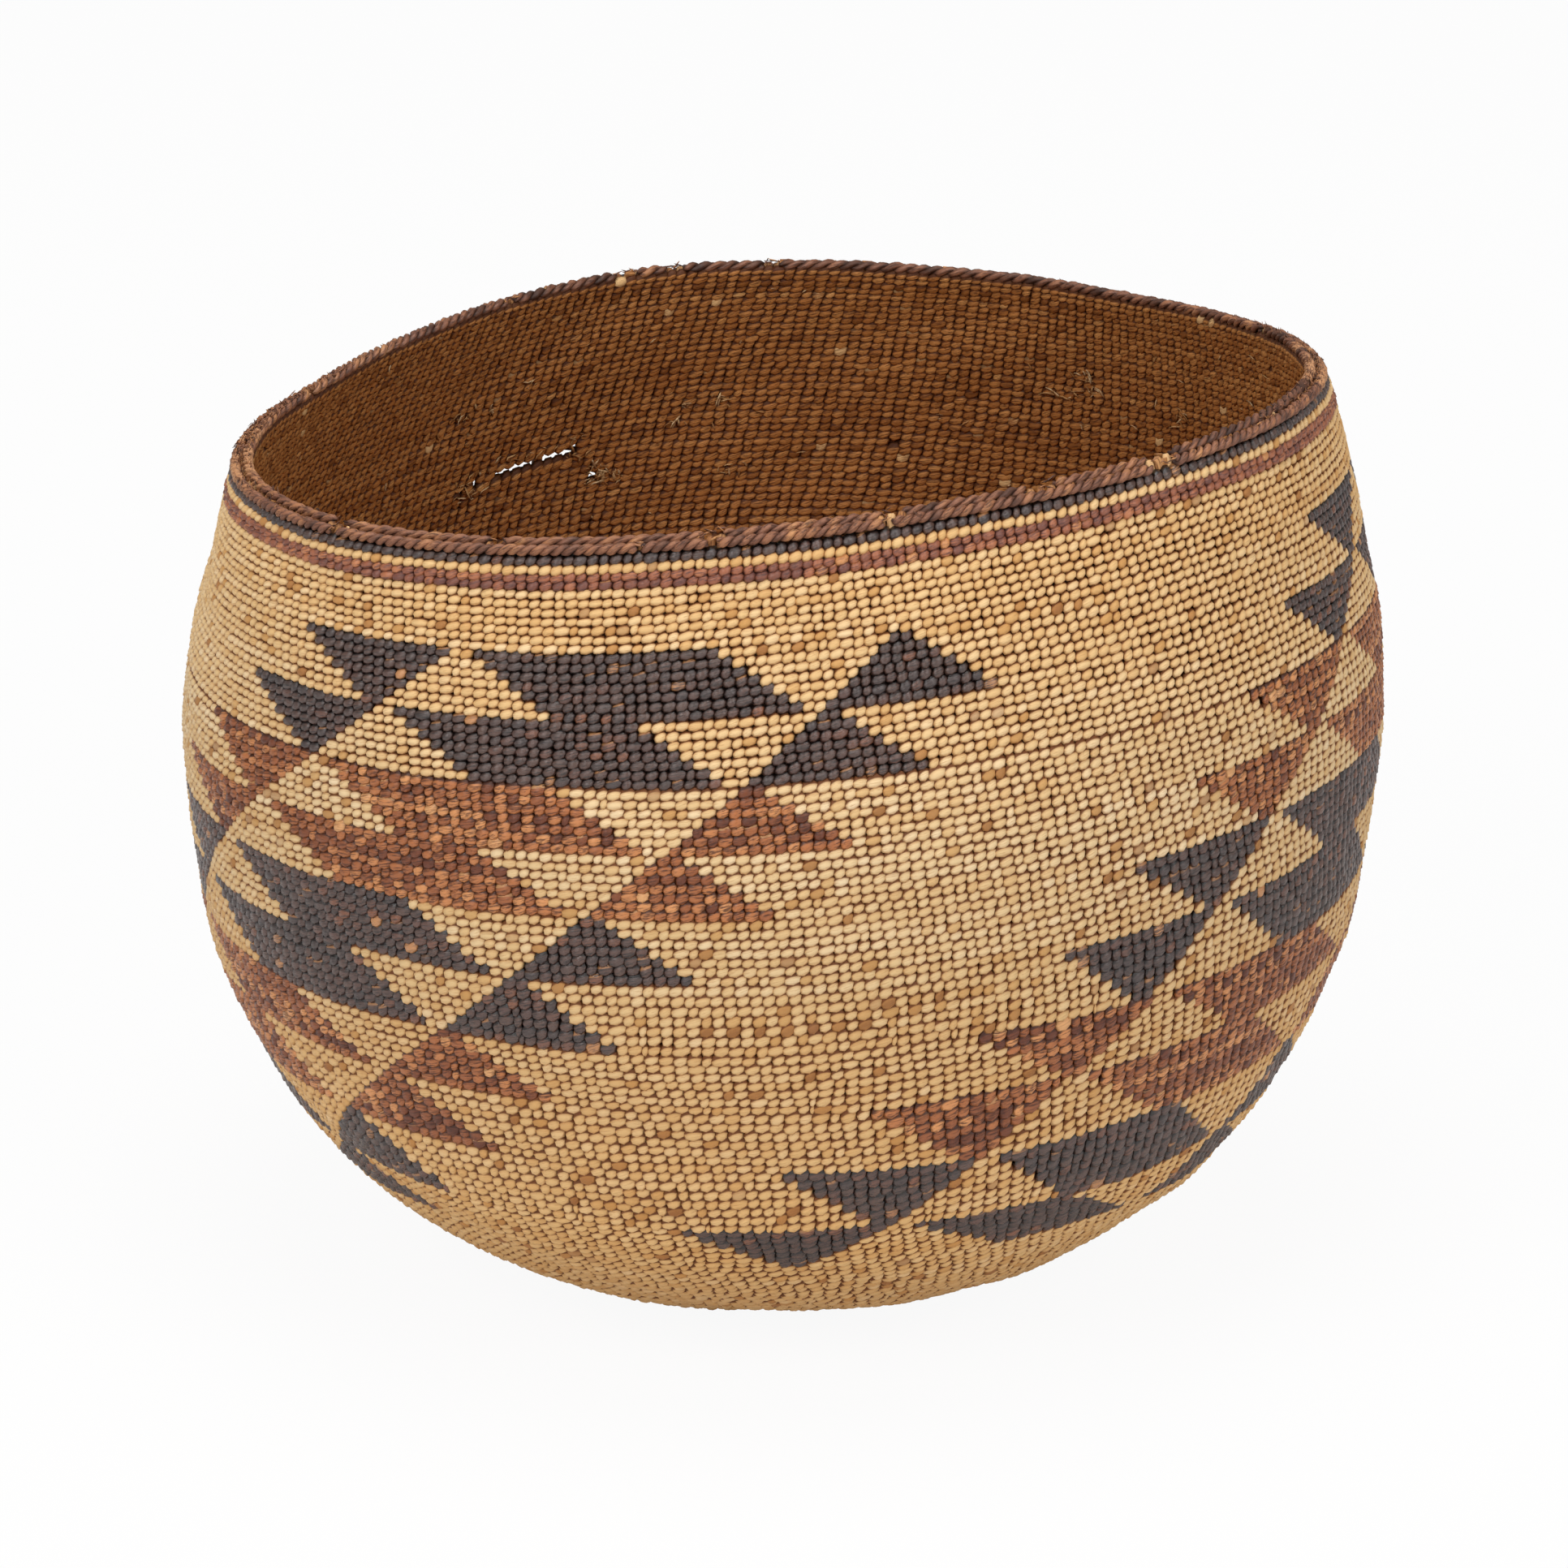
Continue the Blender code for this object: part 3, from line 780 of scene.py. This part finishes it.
def strand_tones(count, middle, spread):
    """Tones along a row of two strands in turn, with splices and odd ones out."""
    tones = np.empty(count)
    for strand in (0, 1):
        here, place = tones[strand::2], 0
        while place < len(here):
            length = int(chance.integers(*SPLICE_AFTER))
            here[place:place + length] = chance.normal(middle, spread)
            place += length
    tones += chance.normal(0, spread * 0.5, count)
    odd = chance.random(count) < ODD_ONES
    tones[odd] = chance.uniform(*ODD_TONES, odd.sum())
    return np.clip(tones, 0, 1)


def browner(row, turn):
    """How much darker the stitches of a row are where a browner strand was used up."""
    darker = np.zeros(len(turn))
    for share, first, last, drop in BROWN_STRETCHES:
        if abs(row_middles[row] - share) < BROWN_REACH:
            here = (np.degrees(turn) % 360 > first) & (np.degrees(turn) % 360 < last)
            here[1::2] = False
            darker += here * drop
    return darker


def row_points(row, inside=False, middle=0.6, spread=0.13, worn=0.012):
    """Points, directions, sizes and looks of all stitches of a row."""
    edges = column_edges[row]
    count = len(edges) - 1
    jostled = np.clip(chance.normal(0, JOSTLE, count), -MOST_JOSTLE, MOST_JOSTLE)
    jostled *= np.diff(edges)
    edges = edges + np.append(jostled, jostled[0])
    turn = (edges[1:] + edges[:-1]) / 2 - math.pi / 2
    tall = row_edges[row + 1] - row_edges[row]
    sway = np.sin(7 * turn + 0.21 * row) + np.sin(13 * turn + 1.3 + 0.13 * row)
    share = row_middles[row] + tall * (ROW_SWAY * sway + chance.normal(0, ROW_JUMP, count))
    depth = INNER_BED if inside else OUTER_BED
    across, _, outward, width, height = directions(turn, share, depth, np.diff(edges) / 2,
                                                   tall / 2)
    facing = -1.0 if inside else 1.0
    bulge = np.full((count, 1), INNER_BULGE if inside else OUTER_BULGE)
    wear = np.where(chance.random(count) < worn, chance.uniform(0.4, 1.0, count), 0.0)
    tones = np.clip(strand_tones(count, middle, spread) - browner(row, turn), 0, 1)
    look = np.stack([tones, wear, chance.random(count)], 1)
    return {"place": layer_point(*pushed_aside(turn, share, depth), depth),
            "along": facing * across, "outward": facing * outward,
            "size": np.hstack([width, height, bulge]), "look": look}


def gather(rows, masks=None, **how):
    """Join the chosen stitches of several rows."""
    found = [row_points(row, **how) for row in rows]
    masks = masks or [np.ones(len(one["place"]), bool) for one in found]
    return {key: np.concatenate([one[key][mask] for one, mask in zip(found, masks)])
            for key in found[0]}


trial = row_points(60)
print("a stitch is", (trial["size"].mean(0) * 1000).round(2), "mm wide, high and proud")

# %% [markdown]
# ## The outer face
# Each band of the plain model is replaced by its stitches. In the tiers the pale and the dyed
# stitches of a band become two pieces, so that each piece has one material.

# %% Sew the outer face
FOOT_EDGE = 0.190
BAND_EDGES = (0.0, START_EDGE, FOOT_EDGE, *TIER_EDGES[::2], *BORDER_EDGES, ROPE_FOOT)
BANDS = ("start_binding", "base_weft", "wall_pale_lower", "pattern_dark_low", "pattern_red_low",
         "pattern_dark_middle", "pattern_red_high", "pattern_dark_high", "wall_pale_upper",
         "border_red", "border_pale", "border_dark")
OUTER_MEASURES = {"Width": 1.0, "Height": 1.0, "Bulge": 1.0, "Unevenness": 0.11, "Wobble": 0.11}
BORDER_MEASURES = {**OUTER_MEASURES, "Height": 1.16, "Bulge": 1.2}
STITCH_SHAPES = ((0.60, scale_stitch), (0.82, lapped_stitch), (1.0, plump_stitch))


def rows_between(low, high):
    return [row for row, share in enumerate(row_middles) if low <= share < high]


def outer_piece(name, node, rows, masks, material, seed):
    """Sew one material's stitches of a band, in place of the plain band."""
    middle, spread, worn = (0.62, 0.12, 0.006) if material is straw else (0.55, 0.26, 0.014)
    points = gather(rows, masks, middle=middle, spread=spread, worn=worn)
    shape = next(shape for top, shape in STITCH_SHAPES if row_middles[rows[0]] < top)
    measures = BORDER_MEASURES if node.startswith("border") else OUTER_MEASURES
    made = sew(name, points, shape, material, measures, seed)
    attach(made, "root")
    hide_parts(node)
    print(name, len(points["place"]), "stitches")


for number, (node, low, high) in enumerate(zip(BANDS, BAND_EDGES, BAND_EDGES[1:])):
    rows = rows_between(low, high)
    if node.startswith("pattern"):
        fern = dark_fern if "dark" in node else red_fern
        masks = [dyed[row] for row in rows]
        outer_piece("fern_" + node, node, rows, masks, fern, 2 * number + 1)
        outer_piece("straw_" + node, node, rows, [~mask for mask in masks], straw, 2 * number)
    else:
        plain = {"border_red": border_red, "border_dark": dark_fern}.get(node, straw)
        outer_piece("stitches_" + node, node, rows, None, plain, 2 * number)

# %% [markdown]
# ## The inner face
# Inside, the basket shows the plain root weft. Its stitches stand in clear upright columns with
# dark grooves between them, partly real shadow and partly painted shade, and they are flatter
# than those outside.

# %% Sew the inner face
MIDDLE_EDGE, WORN_AWAY, MANY_ROWS = 0.726, 0.0015, 40
INNER_BANDS = (("inner_base", 0.0, FOOT_EDGE), ("inner_wall_low", FOOT_EDGE, TIER_EDGES[0]),
               ("inner_wall_middle", TIER_EDGES[0], MIDDLE_EDGE),
               ("inner_wall_high", MIDDLE_EDGE, ROPE_TOP))
INNER_MEASURES = {"Width": 1.0, "Height": 1.0, "Bulge": 1.0, "Unevenness": 0.12, "Wobble": 0.12}

for number, (node, low, high) in enumerate(INNER_BANDS):
    rows = rows_between(low, high)
    half = len(rows) // 2
    halves = [rows] if len(rows) < MANY_ROWS else [rows[:half], rows[half:]]
    for part, some in enumerate(halves):
        left = [chance.random(len(column_edges[row]) - 1) > WORN_AWAY for row in some]
        points = gather(some, left, inside=True, middle=0.5, spread=0.13, worn=0.006)
        name = f"root_{node}_{part + 1}"
        made = sew(name, points, inner_stitch, root, INNER_MEASURES, 40 + 2 * number + part)
        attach(made, "root")
        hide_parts(node)
        print(name, len(points["place"]), "stitches")

# %% [markdown]
# ## What shows between the stitches
# Behind the stitches lie the hidden halves of the same strands. From outside, only their shadowed
# brown shows in the creases, so a thin closed shell behind each face is enough. Its brown is
# painted shade, darker than the strands themselves. Its net of faces is cut along each break, and
# Solidify gives it a thickness and closes its edges.

# %% Make the shadowed shells
COARSE_TURN, COARSE_SHARE, SHELL_FOOT = 4.0, 0.016, 0.0075
LINE_ROOM, SLIT_OVERRUN, HAIR = 0.005, 0.6, 1e-6


def shell(name, depth, thickness, inside, material):
    """A thin closed shell along the wall, slit at the breaks."""
    lines = [*np.arange(SHELL_FOOT, ROPE_FOOT, COARSE_SHARE), ROPE_FOOT]
    turns = list(np.arange(0, 360, COARSE_TURN))
    slits = {}
    for (middle, half, share, _, climb), (swing, drop) in zip(BREAKS, BREAK_STEPS):
        line = share + drop * (INNER_DEPTH - depth)
        middle += math.degrees(swing) * (INNER_DEPTH - depth)
        half += SLIT_OVERRUN
        slits[line] = (middle, half, climb)
        lines = [value for value in lines if abs(value - line) > LINE_ROOM] + [line]
        turns += list(np.linspace(middle - half, middle + half, 11 if half > 2 else 5))
    turns = np.unique(np.round(np.array(turns) % 360, 2))
    angles, spots, rows = np.radians(turns), [], []
    for line in sorted(lines):
        middle, half, climb = slits.get(line, (0.0, 0.0, 0.0))
        parts_here = np.abs(turns - middle) < half - 0.02
        off = np.clip((turns - middle + 180) % 360 - 180, -half, half)
        below, above = (
            layer_point(angles, np.clip(share + parted(angles, share, depth), 0, 1), depth)
            for share in (line + climb * off + side * HAIR * parts_here for side in (-1, 1)))
        lower = len(spots) + np.arange(len(turns))
        upper = lower.copy()
        upper[parts_here] = lower[-1] + 1 + np.arange(parts_here.sum())
        spots += [*below, *above[parts_here]]
        rows.append((lower, upper))
    way = -1 if inside else 1
    faces = [face[::way] for (_, upper), (lower, _) in zip(rows, rows[1:])
             for face in zip(upper, np.roll(upper, -1), np.roll(lower, -1), lower)]
    made = new_object(name, spots, faces)
    mesh = made.data
    thick = made.modifiers.new("thickness", "SOLIDIFY")
    thick.thickness, thick.offset = thickness, -1.0
    graph = bpy.context.evaluated_depsgraph_get()
    made.data = bpy.data.meshes.new_from_object(made.evaluated_get(graph), depsgraph=graph)
    made.modifiers.clear()
    bpy.data.meshes.remove(mesh)
    made.data.name = name
    made.data.materials.clear()
    made.data.materials.append(material)
    made.data.shade_smooth()
    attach(made, "root")
    return made


outer_shell = shell("outer_ground", 0.0010, 0.0004, False, dark_ground)
inner_shell = shell("inner_ground", 0.00275, 0.0004, True, inner_ground)
print("faces in the shells", len(outer_shell.data.polygons), len(inner_shell.data.polygons))

# %% [markdown]
# ## The ropes at the rim
# Two ropes hold the ends of the shoots, one outside and one inside them. Each is two strands
# twisted round each other, the inner one more loosely. Each strand is a tube that follows a screw
# line along the rim, with painted shade where it faces the other and a painted highlight on its
# outer ridge. Where a rope has broken, it stops.

# %% Twist the ropes
ROPE_SHARE = 1 - 0.0010 / MERIDIAN
STRAND_RADIUS, TWIST_RADIUS = 0.00070, 0.00053
OUTER_TWISTS, INNER_TWISTS = 156, 118
STEPS_PER_TWIST, STRAND_SIDES = 9, 7
OUTER_ROPE_DEPTH, INNER_ROPE_DEPTH = 0.00025, 0.00275
OUTER_ROPE_BREAKS = ((-50.0, 0.5), (-15.4, 0.2), (-7.7, 0.5), (11.3, 0.5), (44.0, 1.6),
                     (92.0, 0.6), (148.0, 0.5), (181.5, 0.85), (192.5, 1.05), (198.5, 1.35),
                     (236.0, 0.5), (268.0, 0.6))
INNER_ROPE_BREAKS = ((-50.5, 0.9), (-31.0, 0.6), (-7.7, 1.1), (12.0, 1.1), (29.3, 1.7),
                     (44.5, 1.8), (110.0, 0.7), (181.5, 0.85), (192.5, 1.05), (198.5, 1.35),
                     (215.0, 0.6), (255.0, 0.5))


def outer_rise(phi):
    """The outer rope sits lower at the back of the bowl than in front."""
    return 0.0002 - 0.0013 * (1 - np.cos(phi)) / 2


def inner_rise(phi):
    """The inner rope lies on the ends of the shoots, highest in front."""
    return 0.0007 + 0.0011 * (1 + np.cos(phi)) / 2


def rope_stretches(breaks):
    """The turns between which a rope is whole."""
    marks = sorted((middle % 360, half) for middle, half in breaks)
    for (middle, half), (after, after_half) in zip(marks, marks[1:] + marks[:1]):
        end = after - after_half
        yield middle + half, end + (360 if end < middle else 0)


def strand(first, last, centre_depth, rise, twists, start):
    """Rings of points on a screw line. Each has its place, two map numbers, turn and reach."""
    count = max(6, int((last - first) / 360 * twists * STEPS_PER_TWIST)) + 1
    phi = np.radians(np.linspace(first, last, count))
    turn, share = phi - math.pi / 2, np.full(count, ROPE_SHARE)
    middle = wall(turn, share, centre_depth)
    outward = unit(wall(turn, share, centre_depth - 0.0005) - middle)[0]
    middle[:, 2] += rise(phi)
    up = np.cross(outward, unit(np.gradient(middle, axis=0))[0])
    twist = (start - twists * phi)[:, None]
    jitter = 1 + 0.12 * np.sin(41 * phi + start) + 0.08 * np.sin(97 * phi + 2 * start)
    line = middle + TWIST_RADIUS * jitter[:, None] * (np.cos(twist) * up + np.sin(twist) * outward)
    ahead = unit(np.gradient(line, axis=0))[0]
    one = unit(np.cross(ahead, up))[0]
    two = np.cross(one, ahead)
    steps, sides = np.arange(count), np.arange(STRAND_SIDES)
    thick = STRAND_RADIUS * np.minimum(1, 0.45 + 0.35 * np.minimum(steps, steps[::-1])) * (
        1 + 0.10 * np.sin(67 * phi + start) + 0.07 * np.sin(151 * phi))
    angle = (2 * math.pi * sides / STRAND_SIDES)[:, None]
    rings = line[:, None] + thick[:, None, None] * (np.cos(angle) * one[:, None]
                                                    + np.sin(angle) * two[:, None])
    reach = np.linalg.norm(rings - middle[:, None], axis=-1) / (STRAND_RADIUS + TWIST_RADIUS)
    maps = np.broadcast_arrays(steps[:, None] * 2.0 / STEPS_PER_TWIST, sides / STRAND_SIDES,
                               phi[:, None], reach)
    return np.concatenate([rings, np.stack(maps, -1)], -1).reshape(-1, 7)


def rope(name, node, centre_depth, rise, twists, breaks):
    """Both strands of a rope in one piece, with tone, wear, painted shade and a painted highlight
    along them.
    """
    parts, faces, tones, done = [], [], [], 0
    for first, last in rope_stretches(breaks):
        for start in (0.0, math.pi):
            parts.append(strand(first, last, centre_depth, rise, twists, start))
            many = len(parts[-1])
            faces += tube(many // STRAND_SIDES, STRAND_SIDES, done)
            tones += [chance.normal(0.42, 0.1)] * many
            done += many
    rows = np.concatenate(parts)
    along, across, phi, reach = rows[:, 3:].T
    made = new_object(name, rows[:, :3], faces, np.stack([along % 50.0, across], 1))
    worn = np.clip(0.4 * np.sin(9 * phi + 1.0) + 0.3 * np.sin(23 * phi) + 0.2
                   * np.sin(61 * phi) - 0.35 + 0.95 * np.abs(np.sin(phi)) ** 6, 0, 0.9)
    patchy = 0.11 * np.sin(37 * phi + 0.7) + 0.09 * np.sin(83 * phi) + 0.07 * np.sin(149 * phi)
    # Painted shade where a strand faces the other and a painted highlight on its outer ridge; the
    # last term makes the rope darker towards the back of the bowl.
    painted_shade_and_highlight = 0.12 - 0.80 * np.clip(0.93 - reach, 0, 1) - 0.10 * (1 - np.cos(phi))
    look = np.stack([np.clip(np.array(tones) + patchy + painted_shade_and_highlight + 0.30 * worn, 0, 1), 0.8 * worn,
                     0.3 + 0.2 * np.sin(5 * phi)], 1)
    made.data.attributes.new("look", "FLOAT_VECTOR", "POINT").data.foreach_set(
        "vector", look.astype(np.float32).ravel())
    made.data.materials.append(rope_strand)
    made.data.shade_smooth()
    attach(made, "root")
    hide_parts(node)
    print(name, "faces", len(faces))


rope("twisted_rope_outer", "rim_rope_outer", OUTER_ROPE_DEPTH, outer_rise, OUTER_TWISTS,
     OUTER_ROPE_BREAKS)
rope("twisted_rope_inner", "rim_rope_inner", INNER_ROPE_DEPTH, inner_rise, INNER_TWISTS,
     INNER_ROPE_BREAKS)

# %% [markdown]
# ## Ends of the shoots
# Between the ropes, every column ends in the cut end of its shoot. They fill the top of the rim,
# and at the breaks in the ropes they stand free as short pegs.

# %% Stand a peg in every column
PEG_DEPTH, PEG_FOOT, NEAR_BREAK = 0.00185, 0.987, 0.5


def peg(name, sides):
    """A rounded peg, one unit high and one unit thick, closed at both ends."""
    rings = ((0.42, 0.0), (0.5, 0.35), (0.47, 0.8), (0.28, 0.97))
    angles = [-2 * math.pi * i / sides for i in range(sides)]
    spots = [(reach * math.cos(angle), reach * math.sin(angle), height)
             for reach, height in rings for angle in angles]
    return new_object(name, spots, tube(len(rings), sides),
                      [(z, 0.5 + x * 0.6) for x, y, z in spots])


shoot_end = peg("shoot_end", 7)
top = column_edges[-1]
count = len(top) - 1
turn = (top[1:] + top[:-1]) / 2 - math.pi / 2
phi = turn + math.pi / 2
foot, head = (wall(turn, np.full(count, share), PEG_DEPTH) for share in (PEG_FOOT, 1.0))
head[:, 2] += 0.1 * inner_rise(phi)
outward, tall = unit(head - foot)
along = np.stack([-np.sin(turn), np.cos(turn), 0 * turn], 1)
from_break = np.array([[abs((one - middle + 180) % 360 - 180) - half
                        for middle, half in OUTER_ROPE_BREAKS + INNER_ROPE_BREAKS]
                       for one in np.degrees(turn) + 90]).min(1)
bare = (from_break < NEAR_BREAK)[:, None]
sizes = np.hstack([np.where(bare, 0.0021, 0.0016), np.where(bare, 0.0019, 0.0015),
                   tall * (1.0 + chance.normal(0, 0.05, (count, 1))
                           + 0.16 * bare * np.cos(phi)[:, None])])
looks = np.stack([np.clip(chance.normal(0.45, 0.2, count) + 0.3 * bare[:, 0], 0, 1),
                  np.where(chance.random(count) < 0.3, chance.random(count), 0),
                  chance.random(count)], 1)
pegs = sew("shoot_ends", {"place": foot, "along": along, "outward": outward, "size": sizes,
                          "look": looks}, shoot_end, shoot_ends_look,
           {"Unevenness": 0.05, "Wobble": 0.3}, 71)
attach(pegs, "root")
print("pegs", count)

# %% [markdown]
# ## Frayed fibres
# Age has frayed the root weft. Short pale slivers stick out all over the inner face, and more of
# them near the breaks in the wall and in the ropes. Each is a thin bent spike, laid at a chance
# angle by the same stitching tree.

# %% Fray the inner face and the rim
SPREAD_COUNT, RIM_COUNT, FRAY_DEPTH = 420, 520, INNER_BED + 0.0009
TUFTS = ((109.6, 0.7980, 0.9, 30), (100.0, 0.8575, 0.6, 7), (97.0, 0.8625, 0.7, 8),
         (101.5, 0.8430, 0.6, 7), (129.0, 0.8925, 0.8, 9), (125.0, 0.8900, 0.6, 6),
         (56.0, 0.9125, 0.9, 12), (59.0, 0.8930, 1.1, 10), (55.0, 0.9000, 0.9, 10),
         (42.5, 0.8900, 0.9, 8), (95.5, 0.7940, 0.8, 9), (120.0, 0.9100, 0.5, 5))


def spike(name):
    """A thin bent spike, one unit long, closed at both ends."""
    rings = ((-0.5, 0.05, 0.0), (-0.15, 0.11, 0.10), (0.2, 0.09, 0.16), (0.5, 0.02, 0.42))
    spots = [(x, thick * math.cos(angle), height + thick * math.sin(angle))
             for x, thick, height in rings for angle in (4.7, 2.6, 0.5)]
    return new_object(name, spots, tube(len(rings), 3), [(x + 0.5, 0.5) for x, y, z in spots])


def frays(turns, share, depth, lengths, facing, angle=0.5, spread=0.8):
    """Points for spikes that lie on one face at chance angles."""
    turn = np.radians(turns)
    across, up, outward, *_ = directions(turn, share, depth, 0.004, 0.002)
    angle = chance.normal(angle, spread, len(turn))[:, None]
    return {"place": layer_point(turn, share, depth),
            "along": np.cos(angle) * across + np.sin(angle) * up, "outward": facing * outward,
            "size": lengths[:, None] * (1.0, 1.0, 0.9),
            "look": np.stack([chance.random(len(turn)), 0 * turn, chance.random(len(turn))], 1)}


spike_shape = spike("spike")
turns, shares = [chance.uniform(0, 360, SPREAD_COUNT)], [chance.uniform(0.42, 0.985, SPREAD_COUNT)]
turns += [chance.normal(middle, half * 0.9 + 0.6, 12) for middle, half, *rest in BREAKS]
shares += [share + chance.choice((-1, 1), 12) * chance.uniform(0.005, 0.012, 12)
           for middle, half, share, *rest in BREAKS]
for middle, share, wide, many in TUFTS:
    turns.append(middle + chance.normal(0, wide, many))
    shares.append(share + chance.normal(0, wide * 0.004, many))
turns, shares = np.concatenate(turns), np.concatenate(shares)
lengths = np.append(chance.uniform(0.0010, 0.0026, SPREAD_COUNT),
                    chance.uniform(0.0012, 0.0032, len(turns) - SPREAD_COUNT))
loose = frays(turns, shares, FRAY_DEPTH, lengths, -1.0)

turns = np.concatenate([middle - 90 + chance.normal(0, half * 0.8, 4)
                        for middle, half in OUTER_ROPE_BREAKS + INNER_ROPE_BREAKS]
                       + [side + chance.normal(0, 13, RIM_COUNT) for side in (0, 180)])
count, phi = len(turns), np.radians(turns + 90)
depth = chance.uniform(-0.0006, 0.0036, count)
rim = frays(turns, np.full(count, ROPE_SHARE), depth, chance.uniform(0.0012, 0.0024, count), 1.0,
            0.0, 0.35)
inward = np.clip((depth - OUTER_ROPE_DEPTH) / (INNER_ROPE_DEPTH - OUTER_ROPE_DEPTH), -0.2, 1.2)
rim["place"][:, 2] += (outer_rise(phi) * (1 - inward) + inner_rise(phi) * inward
                       + chance.uniform(0.0004, 0.0011, count))
for name, points, seed, fibre, slot, bend in (
        ("frayed_inside", loose, 91, frayed, "root_weft", 1.0),
        ("frayed_rim", rim, 92, rope_strand, "rim_rope", 0.5)):
    made = sew(name, points, spike_shape, fibre,
               {"Unevenness": 0.3, "Wobble": 0.5, "Bulge": bend}, seed)
    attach(made, "root")
    print(name, len(points["place"]), "fibres")

# %% [markdown]
# ## The middle of the base
# Under the first row of stitches, the start of the weave closes over the crossing shoots with one
# round knot on each side.

# %% Close the middle
knot = pillow("knot", 14, ((0.35, 0.93), (0.7, 0.66), (1.0, 0.0)), 0.5, 0.5, 0.0)
for name, node, height, facing in (("start_knot_outer", "start_binding", 0.0007, -1.0),
                                   ("start_knot_inner", "inner_base", 0.0044, 1.0)):
    points = {key: np.array([value]) for key, value in (
        ("place", (0.0, 0.0, height)), ("along", (1.0, 0.0, 0.0)), ("outward", (0.0, 0.0, facing)),
        ("size", (0.0066, 0.0066, 0.0008)), ("look", (0.5, 0.0, 0.3)))}
    made = sew(name, points, knot, straw if facing < 0 else root,
               {"Unevenness": 0.0, "Wobble": 0.0}, 80)
    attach(made, "root")
    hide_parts(node)
    print(name)

# %% [markdown]
# ## Last things
# The shoots of the plain model stay, and get the look of peeled wood. The patterns for the
# stitches have done their work and are deleted.

# %% Dress the shoots, tidy up and finish
for name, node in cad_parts.items():
    if name.startswith("warp_"):
        for place in node.material_slots:
            place.material = shoot
for pattern in (plump_stitch, lapped_stitch, scale_stitch, inner_stitch, shoot_end, spike_shape,
                knot):
    bpy.data.objects.remove(pattern)
